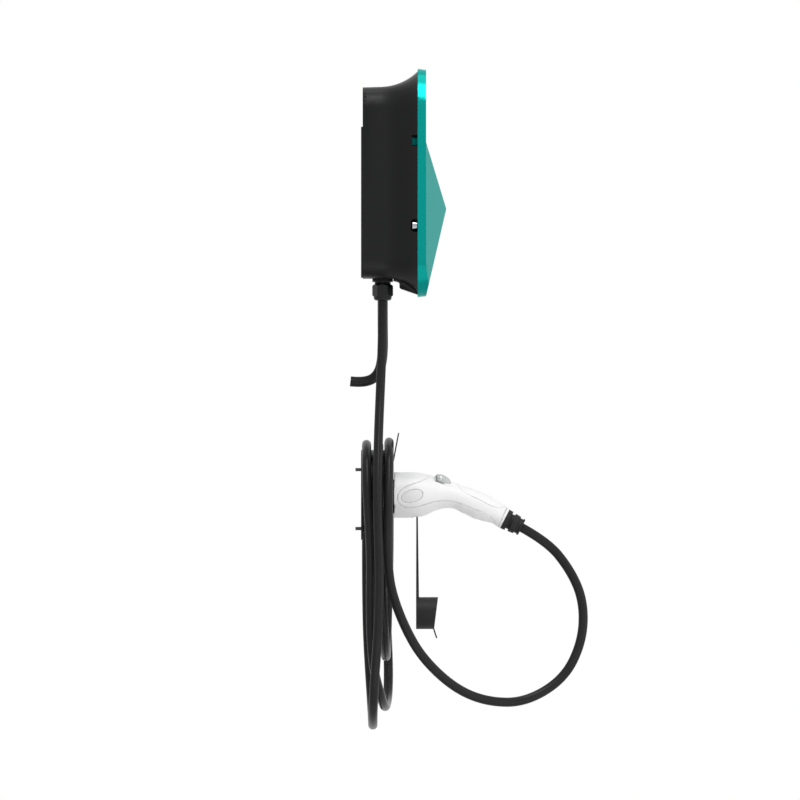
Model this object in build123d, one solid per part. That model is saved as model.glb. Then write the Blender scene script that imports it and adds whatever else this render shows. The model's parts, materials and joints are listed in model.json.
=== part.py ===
"""A wall-mounted charging box for electric cars, with its cable, plug and plug holder.

Frame: millimetres, +Z up, the wall is the plane Y = 0 and the object stands out towards -Y.
The origin is the middle of the wall bracket's four fixing holes, on the wall.
"""

import math
import os

from build123d import *

# Wall bracket: a folded sheet plate
BRACKET_WIDTH = 140.0
BRACKET_HEIGHT = 226.0
BRACKET_THICK = 2.5
BRACKET_CORNER = 8.0
BRACKET_HOLE_R = 3.25
BRACKET_HOLE_SPACING_X = 100.0
BRACKET_HOLE_SPACING_Z = 170.0
BRACKET_WINDOW_WIDTH = 70.0
BRACKET_WINDOW_HEIGHT = 90.0
HOOK_WIDTH = 16.0
HOOK_REACH = 6.0
HOOK_RISE = 9.0
HOOK_SPACING = 70.0
HOOK_Z = 45.0

# Box: the housing tray and the cover share one centre and one cover outline
BOX_CENTRE_Z = 28.7
COVER_WIDTH = 240.0
COVER_HEIGHT = 342.0
COVER_CORNER = 60.0
COVER_OVERHANG = 3.8
COVER_WALL = 3.0
COVER_SKIRT = 12.7
COVER_DRAFT = 1.5
RIM_DEPTH = 84.8
FLARE = 24.0
FLARE_START = 30.0
FLARE_DRAFT = 0.75
HOUSING_WALL = 3.0
SKIRT_WALL = 2.5
SEAL_THICK = 3.0

# Pyramid on the lower part of the cover
PYRAMID_RISE = 30.1
PYRAMID_TOP_Z = 89.0
PYRAMID_PEAK_Z = -9.9
PYRAMID_TIP = 2.0

# Lower lip of the housing, in front of the cable glands
CHIN_WIDTH = 150.0
CHIN_START = 57.5
CHIN_DROP = 15.3
CHIN_FILLET = 9.0
CHIN_EDGE = 2.0

# Side notches with the cover's hooks and screws
HOOK_NOTCH_Z = 92.0
HOOK_NOTCH_HEIGHT = 16.0
HOOK_NOTCH_DEPTH = 8.6
SCREW_NOTCH_Z = -35.3
SCREW_NOTCH_HEIGHT = 19.0
SCREW_NOTCH_DEPTH = 10.2
COVER_HOOK_THICK = 2.5
COVER_HOOK_HEIGHT = 10.6
COVER_HOOK_GAP = 1.0
COVER_HOOK_INSET = 9.2
COVER_SCREW_HEAD_R = 7.0
COVER_SCREW_HEAD_LENGTH = 8.2
COVER_SCREW_SHANK_R = 3.0
COVER_SCREW_SHANK_LENGTH = 9.0
COVER_SCREW_INSET = 14.5
LUG_THICK = 3.0
BOSS_R = 6.0
COVER_SCREW_ROUND = 1.2
COVER_SCREW_SOCKET_R = 3.0
COVER_SCREW_SOCKET_DEPTH = 4.0

# Bosses and small screws inside the box
POST_R = 4.0
POST_HOLE = 7.0
SMALL_SCREW_R = 1.9
RAIL_STAND = 8.0
BOARD_STAND = 12.0
WALL_SCREW_ROOM_R = 7.5
WALL_SCREW_ROOM = 2.0

# Cable glands in the housing's floor
GLAND_Y = -32.4
GLAND_X = 30.0
GLAND_THREAD_R = 12.5
GLAND_FLANGE_R = 15.5
GLAND_FLANGE = 3.4
GLAND_NECK_R = 12.1
GLAND_NECK = 4.0
GLAND_NUT_ACROSS_FLATS = 27.0
GLAND_NUT_HEX = 18.0
GLAND_NUT_DOME = 5.8
GLAND_NUT_ROUND = 4.3
GLAND_STUB_R = 9.5
GLAND_STUB_SHARE = 2 / 3
GLAND_LOCKNUT_FLATS = 32.0
GLAND_LOCKNUT_THICK = 5.0
GLAND_SEAL_THICK = 1.5
GLAND_INSIDE = 9.0

# Cables
CHARGING_CABLE_R = 7.0
SUPPLY_CABLE_R = 7.8
CABLE_FIT = 0.05
RUN_SHARE = 0.45

# Clearances
RUNNING_FIT = 0.05
THREAD_FIT = 0.1
LOOSE_FIT = 0.3

# Mounting rail and what it carries
RAIL_SIDE_ROOM = 17.2
RAIL_Z = 5.0
RAIL_HEIGHT = 35.0
RAIL_WEB_HEIGHT = 27.0
RAIL_DEEP = 7.5
RAIL_THICK = 1.0
RAIL_SCREW_INSET = 7.0
CLAW_DEEP = 3.5
CLAW_LIP = 2.0
MODULE_GAP = 1.0
CONTACTOR_WIDTH = 36.0
CONTACTOR_POLES = 4
FAULT_SENSOR_WIDTH = 36.0
FAULT_SENSOR_POLES = 4
TERMINAL_BLOCK_WIDTH = 40.0
TERMINAL_BLOCK_POLES = 5
MODULE_HEIGHT = 85.0
MODULE_DEEP = 60.0
MODULE_NOSE_HEIGHT = 45.0
MODULE_SHOULDER = 44.0
BLOCK_HEIGHT = 52.0
BLOCK_DEEP = 40.0
BLOCK_NOSE_HEIGHT = 22.0
BLOCK_SHOULDER = 30.0
TERMINAL_SCREW_R = 2.0
TERMINAL_SCREW_DEEP = 3.0
TERMINAL_MOUTH = 5.0

# Control board
BOARD_SIDE_ROOM = 17.2
BOARD_TOP_ROOM = 27.9
BOARD_MODULE_GAP = 16.5
BOARD_THICK = 1.6
BOARD_HOLE_INSET = 6.0
SMALL_SCREW_HEAD_R = 3.6
SMALL_SCREW_HEAD = 2.2
SMALL_SCREW_ROUND = 0.7
SMALL_SCREW_LENGTH = 6.0
BOARD_RELAY_SIZE = (29.0, 13.0, 16.0)
BOARD_RELAY_COUNT = 3
BOARD_RELAY_PITCH = 34.0
BOARD_RELAY_ROUND = 1.0
BOARD_CAN_R = 6.0
BOARD_CAN_HEIGHT = 20.0
BOARD_PLUG_SIZE = (30.0, 10.0, 9.0)
BOARD_CHIP_SIZE = (14.0, 14.0, 1.5)

# Plug holder: wall plate, drum for the cable, lip and socket for the plug's nose
PLUG_Z = -438.2
DRUM_R = 67.0
DRUM_WALL = 4.0
DRUM_FRONT = 48.4
DRUM_SKIRT = 12.0
DRUM_FACE = 3.0
SCREW_ACCESS_R = 6.0
HOLDER_PLATE_WIDTH = 112.0
HOLDER_PLATE_BOTTOM_Z = -506.0
HOLDER_PLATE_THICK = 3.5
HOLDER_PLATE_CORNER = 12.0
SOCKET_WALL = 3.0
RIB_THICK = 3.0
RIB_ANGLES = (20.0, 90.0, 160.0)
LIP_TOP_Z = -345.6
LIP_ROOT_Z = -388.0
LIP_LEAN = 8.0
LIP_THICK = 2.0
LIP_WIDTH = 76.0
LIP_CORNER = 14.0
HOLDER_SCREW_SPACING_X = 80.0
HOLDER_SCREW_SPACING_Z = 88.4
HOLDER_SCREW_MIDDLE_Z = -445.0
HOLDER_SCREW_SHANK_R = 2.8
HOLDER_SCREW_THREAD_R = 2.35
HOLDER_SCREW_OUT = 8.4
HOLDER_SCREW_HEAD_R = 5.0
HOLDER_SCREW_HEAD = 3.0

# Plug: sections along its body, as middle (Y, Z), width, height and tilt in degrees
NOSE_R = 28.0
NOSE_FLAT = 22.5
NOSE_LENGTH = 36.0
NOSE_WALL = 3.0
INSERT_SINK = 4.0
SHELL_FRONT_Y = -49.6
SHELL_SECTIONS = [
    ((-49.6, -438.9), 64.0, 68.4, 0.0),
    ((-57.0, -438.9), 64.0, 68.4, 0.0),
    ((-69.0, -438.9), 64.0, 68.4, 0.0),
    ((-81.0, -438.8), 63.4, 68.0, 0.0),
    ((-102.0, -439.2), 56.0, 59.4, 8.0),
    ((-122.2, -438.7), 46.5, 46.1, 15.7),
    ((-141.2, -440.9), 41.0, 38.6, 22.0),
    ((-167.6, -451.2), 39.5, 40.7, 24.4),
    ((-192.0, -461.6), 37.0, 37.8, 27.0),
    ((-215.5, -474.6), 32.0, 31.4, 27.0),
]
SEAM = 0.25
COLLAR_LENGTH = 4.0
CONTACT_BIG_R = 3.9
CONTACT_SMALL_R = 2.6
CONTACT_WALL = 0.8
CONTACT_LENGTH = 26.0
CONTACT_ROW = 16.0
CONTACT_HALF_ROW = 8.5
CONTACT_UP = 12.0
CONTACT_DOWN = 13.5

# Oval inlays in the plug's sides
INLAY_Y = -76.4
INLAY_Z = -440.7
INLAY_LONG = 33.6
INLAY_TALL = 18.9
INLAY_TILT = 17.0
INLAY_INNER_X = 28.0

# Release button on the plug, a rocker on a pin
BUTTON_PIN_Y = -119.5
BUTTON_PIN_Z = -413.0
BUTTON_PIN_R = 2.8
BUTTON_WIDTH = 32.0
BUTTON_ROOM = 1.0
BUTTON_FLOOR = 7.5

# Strain relief, along its own axis
RELIEF_TILT = 27.0
RELIEF_NECK_R = 11.8
RELIEF_RIBS = [(0.0, 15.6, 7.2, 15.2), (11.6, 14.6, 20.8, 13.8), (25.8, 13.5, 28.6, 12.4)]
RELIEF_BORE = 20.0

# Dust cap on its strap
CAP_PIN_Y = -84.0
CAP_PIN_Z = -467.0
CAP_PIN_R = 1.6
CAP_EYE_R = 3.2
STRAP_THICK = 3.0
STRAP_TOP_THICK = 2.4
STRAP_FOOT_THICK = 4.4
STRAP_WIDTH = 14.0
STRAP_SLOT = 12.0
STRAP_SLOT_TOP = 4.5
CAP_TOP_Z = -592.0
CAP_R = 24.0
CAP_WALL = 2.2
CAP_DEEP_TOP = 33.0
CAP_DEEP_BOTTOM = 27.0
TAB_WIDTH = 12.0
TAB_THICK = 2.2
TAB_OUT = 5.0
TAB_DOWN = 13.5

# Lines of the plug's seams in side view, as Y and Z
HANDLE_SEAM = [
    (-104.5, -405.5),
    (-101.2, -410.4),
    (-87.8, -418.7),
    (-66.7, -426.6),
    (-54.1, -438.6),
    (-54.7, -449.7),
    (-64.4, -456.9),
    (-79.9, -457.4),
    (-112.0, -449.0),
    (-138.8, -449.0),
    (-165.5, -459.0),
    (-192.4, -471.0),
    (-201.1, -480.5),
    (-203.4, -486.5),
    (-204.2, -493.0),
]
STRIP_SEAM = [
    (-142.9, -420.0),
    (-152.2, -432.2),
    (-179.0, -447.0),
    (-203.0, -457.7),
    (-214.6, -456.8),
    (-219.5, -451.0),
]
FAR_Y = -250.0
FAR_Z = -380.0
SIDE_CUT = 45.0
END_CUT = 60.0

# Side view of the button's top, from its pin, and small sizes of its post and the strap's slot
BUTTON_TOP = [(8.0, 3.0), (5.4, 5.4), (-1.0, 5.2), (-7.0, 2.6), (-13.4, -2.0), (-15.4, -6.2)]
BUTTON_TIP_DROP = 2.0
BUTTON_EDGE = 1.2
BUTTON_TRAVEL_ROOM = 1.6
BUTTON_POST_WALL = 1.6
BUTTON_POST_WIDTH = 6.0
BUTTON_POST_ROOM = 1.4
CAP_SLOT_BOTTOM_Z = -476.0
STRAP_PIN_SINK = 4.0

# Routes of the cables, as points chosen by hand
UPPER_ROUTE = [
    (-30.0, -32.4, -136.0),
    (-30.0, -32.4, -200.0),
    (-36.0, -29.8, -275.0),
    (-55.0, -27.6, -345.0),
    (-86.0, -25.8, -412.0),
    (-112.0, -25.0, -470.0),
]
LOOP_ROUTE = [
    (-122.0, -40.5, -545.0),
    (-124.0, -46.0, -585.0),
    (-122.0, -66.0, -638.0),
    (-112.0, -93.0, -684.0),
    (-95.0, -140.0, -728.0),
    (-74.0, -189.0, -748.5),
    (-52.0, -246.5, -749.5),
    (-33.0, -305.0, -714.0),
    (-18.0, -332.0, -657.5),
    (-8.0, -334.0, -600.0),
    (-2.5, -315.5, -553.5),
    (0.0, -277.9, -506.4),
    (0.0, -228.5, -481.2),
]
SUPPLY_ROUTE = [
    (30.0, -32.4, -136.0),
    (30.0, -32.4, -185.0),
    (30.0, -33.0, -228.0),
    (30.0, -27.0, -258.0),
    (30.0, -7.0, -271.0),
    (30.0, 16.1, -268.4),
]

# Coil: three loose turns over the drum, as one closed form
COIL_BACK = 1.0
COIL_FRONT = 48.0
COIL_TOP_Z = -357.0
COIL_BOTTOM_Z = -791.0
COIL_HALF_WIDTH = 157.0
COIL_INNER_BOTTOM_Z = -673.0
COIL_INNER_HALF_WIDTH = 112.0

# Sizes that follow from those above
COVER_HOOK_REACH = HOOK_NOTCH_DEPTH - LOOSE_FIT
HOUSING_BACK = BRACKET_THICK
RIM_WIDTH = COVER_WIDTH - 2 * COVER_OVERHANG
RIM_HEIGHT = COVER_HEIGHT - 2 * COVER_OVERHANG
RIM_CORNER = COVER_CORNER - COVER_OVERHANG
BODY_WIDTH = RIM_WIDTH - 2 * FLARE
BODY_HEIGHT = RIM_HEIGHT - 2 * FLARE
BODY_CORNER = RIM_CORNER - FLARE
COVER_FRONT = RIM_DEPTH + COVER_SKIRT
FLOOR_Z = BOX_CENTRE_Z - BODY_HEIGHT / 2
BODY_TOP_Z = BOX_CENTRE_Z + BODY_HEIGHT / 2
COVER_HOOK_Z = HOOK_NOTCH_Z - HOOK_NOTCH_HEIGHT / 2 + COVER_HOOK_GAP + COVER_HOOK_HEIGHT / 2
COVER_SCREW_X = COVER_WIDTH / 2 - COVER_SCREW_INSET
RAIL_LENGTH = BODY_WIDTH - 2 * RAIL_SIDE_ROOM
RAIL_SCREW_SPACING = RAIL_LENGTH - 2 * RAIL_SCREW_INSET
BOARD_WIDTH = BODY_WIDTH - 2 * BOARD_SIDE_ROOM
BOARD_TOP_Z = BODY_TOP_Z - BOARD_TOP_ROOM
BOARD_HEIGHT = BOARD_TOP_Z - RAIL_Z - MODULE_HEIGHT / 2 - BOARD_MODULE_GAP
BOARD_Z = BOARD_TOP_Z - BOARD_HEIGHT / 2


def wall_plane(depth):
    """The plane parallel to the wall that lies that far in front of it, with X right and Z up."""
    return Plane(origin=(0, -depth, 0), x_dir=(1, 0, 0), z_dir=(0, -1, 0))


def box_outline(depth, width, height, corner):
    """A rounded rectangle about the box's centre, at that depth in front of the wall."""
    return wall_plane(depth) * Pos(0, BOX_CENTRE_Z) * RectangleRounded(width, height, corner)


def slab(outline, length):
    """A solid from a flat outline, running forward from it."""
    return extrude(outline, amount=length, dir=(0, -1, 0))


def block(x, y, z, at):
    """A box of those three lengths about a point."""
    return Pos(*at) * Box(x, y, z)


def rod(radius, length, start, direction):
    """A round bar from a start point along a direction."""
    return extrude(Plane(origin=start, z_dir=direction) * Circle(radius), amount=length)


def wall_bracket():
    """The plate on the wall: four fixing holes, a cable window and two hooks for the box."""
    back = wall_plane(0)
    plate = back * RectangleRounded(BRACKET_WIDTH, BRACKET_HEIGHT, BRACKET_CORNER)
    holes = GridLocations(BRACKET_HOLE_SPACING_X, BRACKET_HOLE_SPACING_Z, 2, 2) * Circle(BRACKET_HOLE_R)
    window = RectangleRounded(BRACKET_WINDOW_WIDTH, BRACKET_WINDOW_HEIGHT, BRACKET_CORNER)
    plate -= back * Pos(0, -BRACKET_WINDOW_HEIGHT / 4) * window
    for hole in holes:
        plate -= back * hole
    bracket = slab(plate, BRACKET_THICK)
    for side in (-1, 1):
        x = side * HOOK_SPACING / 2
        reach = HOOK_REACH + BRACKET_THICK
        arm = block(HOOK_WIDTH, reach, BRACKET_THICK, (x, -BRACKET_THICK - reach / 2, HOOK_Z))
        rise_z = HOOK_Z + HOOK_RISE / 2 - BRACKET_THICK / 2
        nose_y = -BRACKET_THICK - reach + BRACKET_THICK / 2
        nose = block(HOOK_WIDTH, BRACKET_THICK, HOOK_RISE, (x, nose_y, rise_z))
        bracket += arm + nose
    return bracket


def hook_pockets():
    """The rooms in the housing's back that the bracket's hooks reach into."""
    width = HOOK_WIDTH + 2 * LOOSE_FIT
    depth = HOOK_REACH + BRACKET_THICK + LOOSE_FIT
    height = HOOK_RISE + 2 * LOOSE_FIT
    z = HOOK_Z + HOOK_RISE / 2 - BRACKET_THICK / 2
    rooms = [
        block(width, depth, height, (side * HOOK_SPACING / 2, -HOUSING_BACK - depth / 2, z)) for side in (-1, 1)
    ]
    return rooms[0] + rooms[1]


def pocket_walls():
    """The raised walls round the hook pockets, inside the housing."""
    width = HOOK_WIDTH + 2 * (LOOSE_FIT + HOUSING_WALL)
    depth = HOOK_REACH + BRACKET_THICK + LOOSE_FIT + HOUSING_WALL
    height = HOOK_RISE + 2 * (LOOSE_FIT + HOUSING_WALL)
    z = HOOK_Z + HOOK_RISE / 2 - BRACKET_THICK / 2
    walls = [
        block(width, depth, height, (side * HOOK_SPACING / 2, -HOUSING_BACK - depth / 2, z)) for side in (-1, 1)
    ]
    return walls[0] + walls[1]


def carry_round(section, inset=0.0):
    """A flat section carried once round the box's back outline.

    The section's x is how far it lies outside that outline, and its y how far in front of the wall.
    An inset moves the path inward by that much.
    """
    corner = BODY_CORNER - inset
    turns = [(BODY_WIDTH / 2 - inset, BODY_HEIGHT / 2 - inset), (BODY_HEIGHT / 2 - inset, BODY_WIDTH / 2 - inset)]
    pieces = []
    for side in range(4):
        reach, across = turns[side % 2]
        half_run = across - corner
        placed = Plane(origin=(reach, 0, -half_run), x_dir=(1, 0, 0), z_dir=(0, 0, -1)) * section
        run = extrude(placed, amount=2 * half_run, dir=(0, 0, 1))
        bend = revolve(placed, axis=Axis((reach - corner, 0, -half_run), (0, 1, 0)), revolution_arc=90)
        pieces += [Pos(0, 0, BOX_CENTRE_Z) * Rot(0, 90 * side, 0) * piece for piece in (run, bend)]
    return pieces[0].fuse(*pieces[1:])


def tray_section():
    """The tray's wall in section: a straight inner wall, and a skirt that leaves it in one arc.

    The skirt has a little draft up to the bend, then an arc out to the rim, and the same wall all along.
    """
    back = (0, HOUSING_BACK)
    bend = (FLARE_DRAFT, FLARE_START)
    outer_line = Line(back, bend)
    outer_arc = TangentArc(bend, (FLARE, RIM_DEPTH), tangent=outer_line % 1)
    centre = outer_arc.arc_center
    inner_radius = outer_arc.radius + SKIRT_WALL
    inner_rim = (centre.X - math.sqrt(inner_radius**2 - (RIM_DEPTH - centre.Y) ** 2), RIM_DEPTH)
    crotch = (0, centre.Y + math.sqrt(inner_radius**2 - centre.X**2))
    half_way = (Vector(*inner_rim) + Vector(*crotch)) / 2 - centre
    inner_arc = ThreePointArc(inner_rim, centre + half_way.normalized() * inner_radius, crotch)
    rest = Polyline(crotch, (0, RIM_DEPTH), (-HOUSING_WALL, RIM_DEPTH), (-HOUSING_WALL, HOUSING_BACK), back)
    rim = Line((FLARE, RIM_DEPTH), inner_rim)
    return make_face([outer_line, outer_arc, rim, inner_arc, *rest.edges()])


def rectangle_section(outside, inside, near, far):
    """A rectangular section for carry_round, from its two sides and two depths."""
    return Pos((outside + inside) / 2, (near + far) / 2) * Rectangle(outside - inside, far - near)


def chin():
    """The lower lip in front of the glands: a hollow moulded step across the middle of the floor."""
    top_z = FLOOR_Z
    step_z = FLOOR_Z - CHIN_DROP
    rim_z = BOX_CENTRE_Z - RIM_HEIGHT / 2
    inner_depth = CHIN_START + SKIRT_WALL
    back = Line((-CHIN_START + CHIN_FILLET, top_z), (-CHIN_START + CHIN_FILLET, top_z + HOUSING_WALL))
    over = Line(back @ 1, (-RIM_DEPTH, top_z + HOUSING_WALL))
    front = Line(over @ 1, (-RIM_DEPTH, rim_z))
    under = Line(front @ 1, (-CHIN_START - CHIN_EDGE, step_z))
    edge = Line(under @ 1, (-CHIN_START, step_z + CHIN_EDGE))
    rise = Line(edge @ 1, (-CHIN_START, top_z - CHIN_FILLET))
    hollow_arc = TangentArc(rise @ 1, back @ 0, tangent=(0, 1))
    outer = make_face([back, over, front, under, edge, rise, hollow_arc])
    room = make_face(
        Polyline(
            (-inner_depth, top_z),
            (-RIM_DEPTH, top_z),
            (-RIM_DEPTH, rim_z + SKIRT_WALL),
            (-inner_depth, step_z + SKIRT_WALL),
            close=True,
        )
    )
    shell = extrude(Plane.YZ * (outer - room), amount=CHIN_WIDTH / 2, both=True)
    cheek = extrude(Plane.YZ * outer, amount=SKIRT_WALL)
    cheeks = Pos(CHIN_WIDTH / 2 - SKIRT_WALL) * cheek + Pos(-CHIN_WIDTH / 2) * cheek
    return shell + cheeks


def chin_room():
    """What the skirt gives up so that the chin stays open behind the rim."""
    depth = RIM_DEPTH - CHIN_START - SKIRT_WALL
    height = CHIN_DROP - SKIRT_WALL
    width = CHIN_WIDTH - 2 * SKIRT_WALL
    return block(width, depth, height, (0, -RIM_DEPTH + depth / 2, FLOOR_Z - height / 2))


def gland_recess():
    """The flat behind the chin, where the skirt stops short of the glands."""
    depth = CHIN_START - CHIN_FILLET - HOUSING_BACK
    height = CHIN_DROP
    return block(CHIN_WIDTH, depth, height, (0, -HOUSING_BACK - depth / 2, FLOOR_Z - height / 2))


def cover_screw_places():
    """The point under each cover screw's head, left and right."""
    return [(side * COVER_SCREW_X, -RIM_DEPTH, SCREW_NOTCH_Z) for side in (-1, 1)]


def screw_lugs():
    """The ears on the housing's sides that the cover screws pass through."""
    inner_x = BODY_WIDTH / 2
    outer_x = COVER_SCREW_X + COVER_SCREW_HEAD_R
    height = SCREW_NOTCH_HEIGHT - 2 * LOOSE_FIT
    gusset_x = COVER_SCREW_X - COVER_SCREW_HEAD_R - LOOSE_FIT
    lugs = []
    for side in (-1, 1):
        ear_x = side * (inner_x + outer_x) / 2
        ear = block(outer_x - inner_x, LUG_THICK, height, (ear_x, -RIM_DEPTH - LUG_THICK / 2, SCREW_NOTCH_Z))
        long = SCREW_NOTCH_DEPTH + LUG_THICK
        gusset_y = -RIM_DEPTH - LUG_THICK + long / 2
        gusset = block(
            gusset_x - inner_x, long, height, (side * (inner_x + gusset_x) / 2, gusset_y, SCREW_NOTCH_Z)
        )
        hole = rod(
            COVER_SCREW_SHANK_R + LOOSE_FIT,
            LUG_THICK,
            (side * COVER_SCREW_X, -RIM_DEPTH, SCREW_NOTCH_Z),
            (0, -1, 0),
        )
        lugs.append(ear + gusset - hole)
    return lugs[0] + lugs[1]


def side_notches():
    """The openings in the skirt's sides: square at the hooks, rounded at the screws."""
    cut_x = FLARE + COVER_OVERHANG
    middle_x = BODY_WIDTH / 2 + cut_x / 2 + RUNNING_FIT
    notches = []
    for side in (-1, 1):
        hook_y = -RIM_DEPTH + HOOK_NOTCH_DEPTH / 2
        notches.append(
            block(cut_x, HOOK_NOTCH_DEPTH, HOOK_NOTCH_HEIGHT, (side * middle_x, hook_y, HOOK_NOTCH_Z))
        )
        screw_y = -RIM_DEPTH + SCREW_NOTCH_DEPTH / 2
        slot = block(cut_x, SCREW_NOTCH_DEPTH, SCREW_NOTCH_HEIGHT, (side * middle_x, screw_y, SCREW_NOTCH_Z))
        ends = slot.edges().filter_by(Axis.X).group_by(Axis.Y)[-1]
        notches.append(fillet(ends, SCREW_NOTCH_DEPTH / 2))
    return notches


def gland_places():
    """The two glands' middles on the underside of the housing's floor: charging, then supply."""
    return {"charging": (-GLAND_X, GLAND_Y, FLOOR_Z), "supply": (GLAND_X, GLAND_Y, FLOOR_Z)}


def rail_posts():
    """The bosses on the housing's back wall that carry the rail and the board."""
    posts = []
    for x, z in rail_screw_places():
        posts.append(post(x, z, RAIL_STAND))
    for x, z in board_screw_places():
        posts.append(post(x, z, BOARD_STAND))
    return posts


def post(x, z, stand):
    """One boss on the back wall with a blind hole for its screw."""
    root = -HOUSING_BACK - HOUSING_WALL
    boss = rod(POST_R, stand, (x, root, z), (0, -1, 0))
    hole = rod(SMALL_SCREW_R + THREAD_FIT, POST_HOLE, (x, root - stand + POST_HOLE, z), (0, -1, 0))
    return boss - hole


def rear_housing():
    """The black tray: back wall, inner wall with the seal's land, flared skirt, lip and bosses."""
    back = slab(box_outline(HOUSING_BACK, BODY_WIDTH, BODY_HEIGHT, BODY_CORNER), HOUSING_WALL)
    sides = carry_round(tray_section()) - chin_room() - gland_recess()
    for notch in side_notches():
        sides -= notch
    tray = back + sides + chin() + screw_lugs() + pocket_walls() - hook_pockets()
    for place in gland_places().values():
        tray -= rod(GLAND_THREAD_R + THREAD_FIT, HOUSING_WALL, place, (0, 0, 1))
    for boss in rail_posts():
        tray += boss
    for place in wall_hole_places():
        tray -= rod(WALL_SCREW_ROOM_R, WALL_SCREW_ROOM, place, (0, -1, 0))
    return tray


def wall_hole_places():
    """The bracket's four fixing holes, on the housing's back face."""
    half_x = BRACKET_HOLE_SPACING_X / 2
    half_z = BRACKET_HOLE_SPACING_Z / 2
    return [(x, -HOUSING_BACK, z) for x in (-half_x, half_x) for z in (-half_z, half_z)]


def cover_seal():
    """The rubber frame between the tray's inner wall and the cover's rib."""
    return carry_round(rectangle_section(0, -HOUSING_WALL, RIM_DEPTH, RIM_DEPTH + SEAL_THICK))


def cover_form(inset):
    """The cover's outer form, or with an inset the room inside it."""
    width = COVER_WIDTH - 2 * inset
    height = COVER_HEIGHT - 2 * inset
    corner = COVER_CORNER - inset
    front = COVER_FRONT - inset
    rim = box_outline(RIM_DEPTH, width, height, corner)
    face = box_outline(front, width - 2 * COVER_DRAFT, height - 2 * COVER_DRAFT, corner - COVER_DRAFT)
    skirt = loft([rim, face], ruled=True)
    bottom_z = BOX_CENTRE_Z - height / 2 + COVER_DRAFT
    base_middle = (PYRAMID_TOP_Z + bottom_z) / 2
    base_height = PYRAMID_TOP_Z - bottom_z
    base = wall_plane(front) * Pos(0, base_middle) * Rectangle(width - 2 * COVER_DRAFT, base_height)
    tip = wall_plane(front + PYRAMID_RISE) * Pos(0, PYRAMID_PEAK_Z) * Rectangle(PYRAMID_TIP, PYRAMID_TIP)
    pyramid = loft([base, tip], ruled=True)
    prism = slab(
        box_outline(front, width - 2 * COVER_DRAFT, height - 2 * COVER_DRAFT, corner - COVER_DRAFT),
        PYRAMID_RISE,
    )
    return skirt + (pyramid & prism)


def front_cover():
    """The teal cover: skirt, flat upper part and low pyramid, with rib, hooks and screw bosses inside."""
    outer = cover_form(0.0)
    cover = outer - cover_form(COVER_WALL)
    reach = PYRAMID_RISE + COVER_SKIRT
    rib = carry_round(rectangle_section(0, -COVER_WALL, RIM_DEPTH + SEAL_THICK, RIM_DEPTH + reach))
    cover += rib & outer
    hook_x = cover_hook_x()
    inside_y = -RIM_DEPTH - SEAL_THICK
    for side in (-1, 1):
        arm_long = COVER_HOOK_REACH + COVER_SKIRT - COVER_WALL / 2
        arm_y = -RIM_DEPTH + COVER_HOOK_REACH - arm_long / 2
        arm = block(COVER_HOOK_THICK, arm_long, COVER_HOOK_HEIGHT, (side * hook_x, arm_y, COVER_HOOK_Z))
        boss = rod(BOSS_R, reach, (side * COVER_SCREW_X, inside_y, SCREW_NOTCH_Z), (0, -1, 0))
        cover += arm + (boss & outer)
        cover -= rod(
            COVER_SCREW_SHANK_R + THREAD_FIT,
            COVER_SCREW_SHANK_LENGTH - SEAL_THICK + LOOSE_FIT,
            (side * COVER_SCREW_X, inside_y, SCREW_NOTCH_Z),
            (0, -1, 0),
        )
    return cover


def cover_hook_x():
    """The middle of the cover's hooks, which reach back just inside the skirt's rim."""
    return RIM_WIDTH / 2 - COVER_HOOK_INSET


def cover_screws():
    """Two screws with plain round heads behind the ears, run forward into the cover's bosses."""
    screws = []
    for x, y, z in cover_screw_places():
        head = rod(COVER_SCREW_HEAD_R, COVER_SCREW_HEAD_LENGTH, (x, y + COVER_SCREW_HEAD_LENGTH, z), (0, -1, 0))
        head = fillet(head.edges().filter_by(GeomType.CIRCLE), COVER_SCREW_ROUND)
        socket = extrude(
            Plane(origin=(x, y + COVER_SCREW_HEAD_LENGTH, z), z_dir=(0, -1, 0))
            * RegularPolygon(COVER_SCREW_SOCKET_R, 6),
            amount=COVER_SCREW_SOCKET_DEPTH,
        )
        shank = rod(COVER_SCREW_SHANK_R, COVER_SCREW_SHANK_LENGTH, (x, y, z), (0, -1, 0))
        screws.append(head - socket + shank)
    return Compound(children=screws)


def rail_screw_places():
    """The rail's two screws, as X and Z."""
    return [(side * RAIL_SCREW_SPACING / 2, RAIL_Z) for side in (-1, 1)]


def board_screw_places():
    """The control board's four screws, as X and Z."""
    half_x = BOARD_WIDTH / 2 - BOARD_HOLE_INSET
    half_z = BOARD_HEIGHT / 2 - BOARD_HOLE_INSET
    return [(x, BOARD_Z + z) for x in (-half_x, half_x) for z in (-half_z, half_z)]


def rail_back():
    """How far the back of the rail stands in front of the wall."""
    return HOUSING_BACK + HOUSING_WALL + RAIL_STAND


def din_rail():
    """A top-hat rail: web on the posts, two sides and two flanges in front."""
    back = rail_back()
    front = back + RAIL_DEEP
    half_web = RAIL_WEB_HEIGHT / 2
    half = RAIL_HEIGHT / 2
    web = Pos(-back - RAIL_THICK / 2, RAIL_Z) * Rectangle(RAIL_THICK, RAIL_WEB_HEIGHT)
    section = web
    for side in (-1, 1):
        wall_z = RAIL_Z + side * (half_web - RAIL_THICK / 2)
        section += Pos(-(back + front) / 2, wall_z) * Rectangle(RAIL_DEEP, RAIL_THICK)
        flange_z = RAIL_Z + side * (half_web + half) / 2
        flange = Rectangle(RAIL_THICK, half - half_web + RAIL_THICK)
        section += Pos(-front + RAIL_THICK / 2, flange_z - side * RAIL_THICK / 2) * flange
    rail = extrude(Plane.YZ * section, amount=RAIL_LENGTH / 2, both=True)
    for x, z in rail_screw_places():
        rail -= rod(SMALL_SCREW_R + THREAD_FIT, RAIL_DEEP, (x, -back, z), (0, -1, 0))
    return rail


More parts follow.
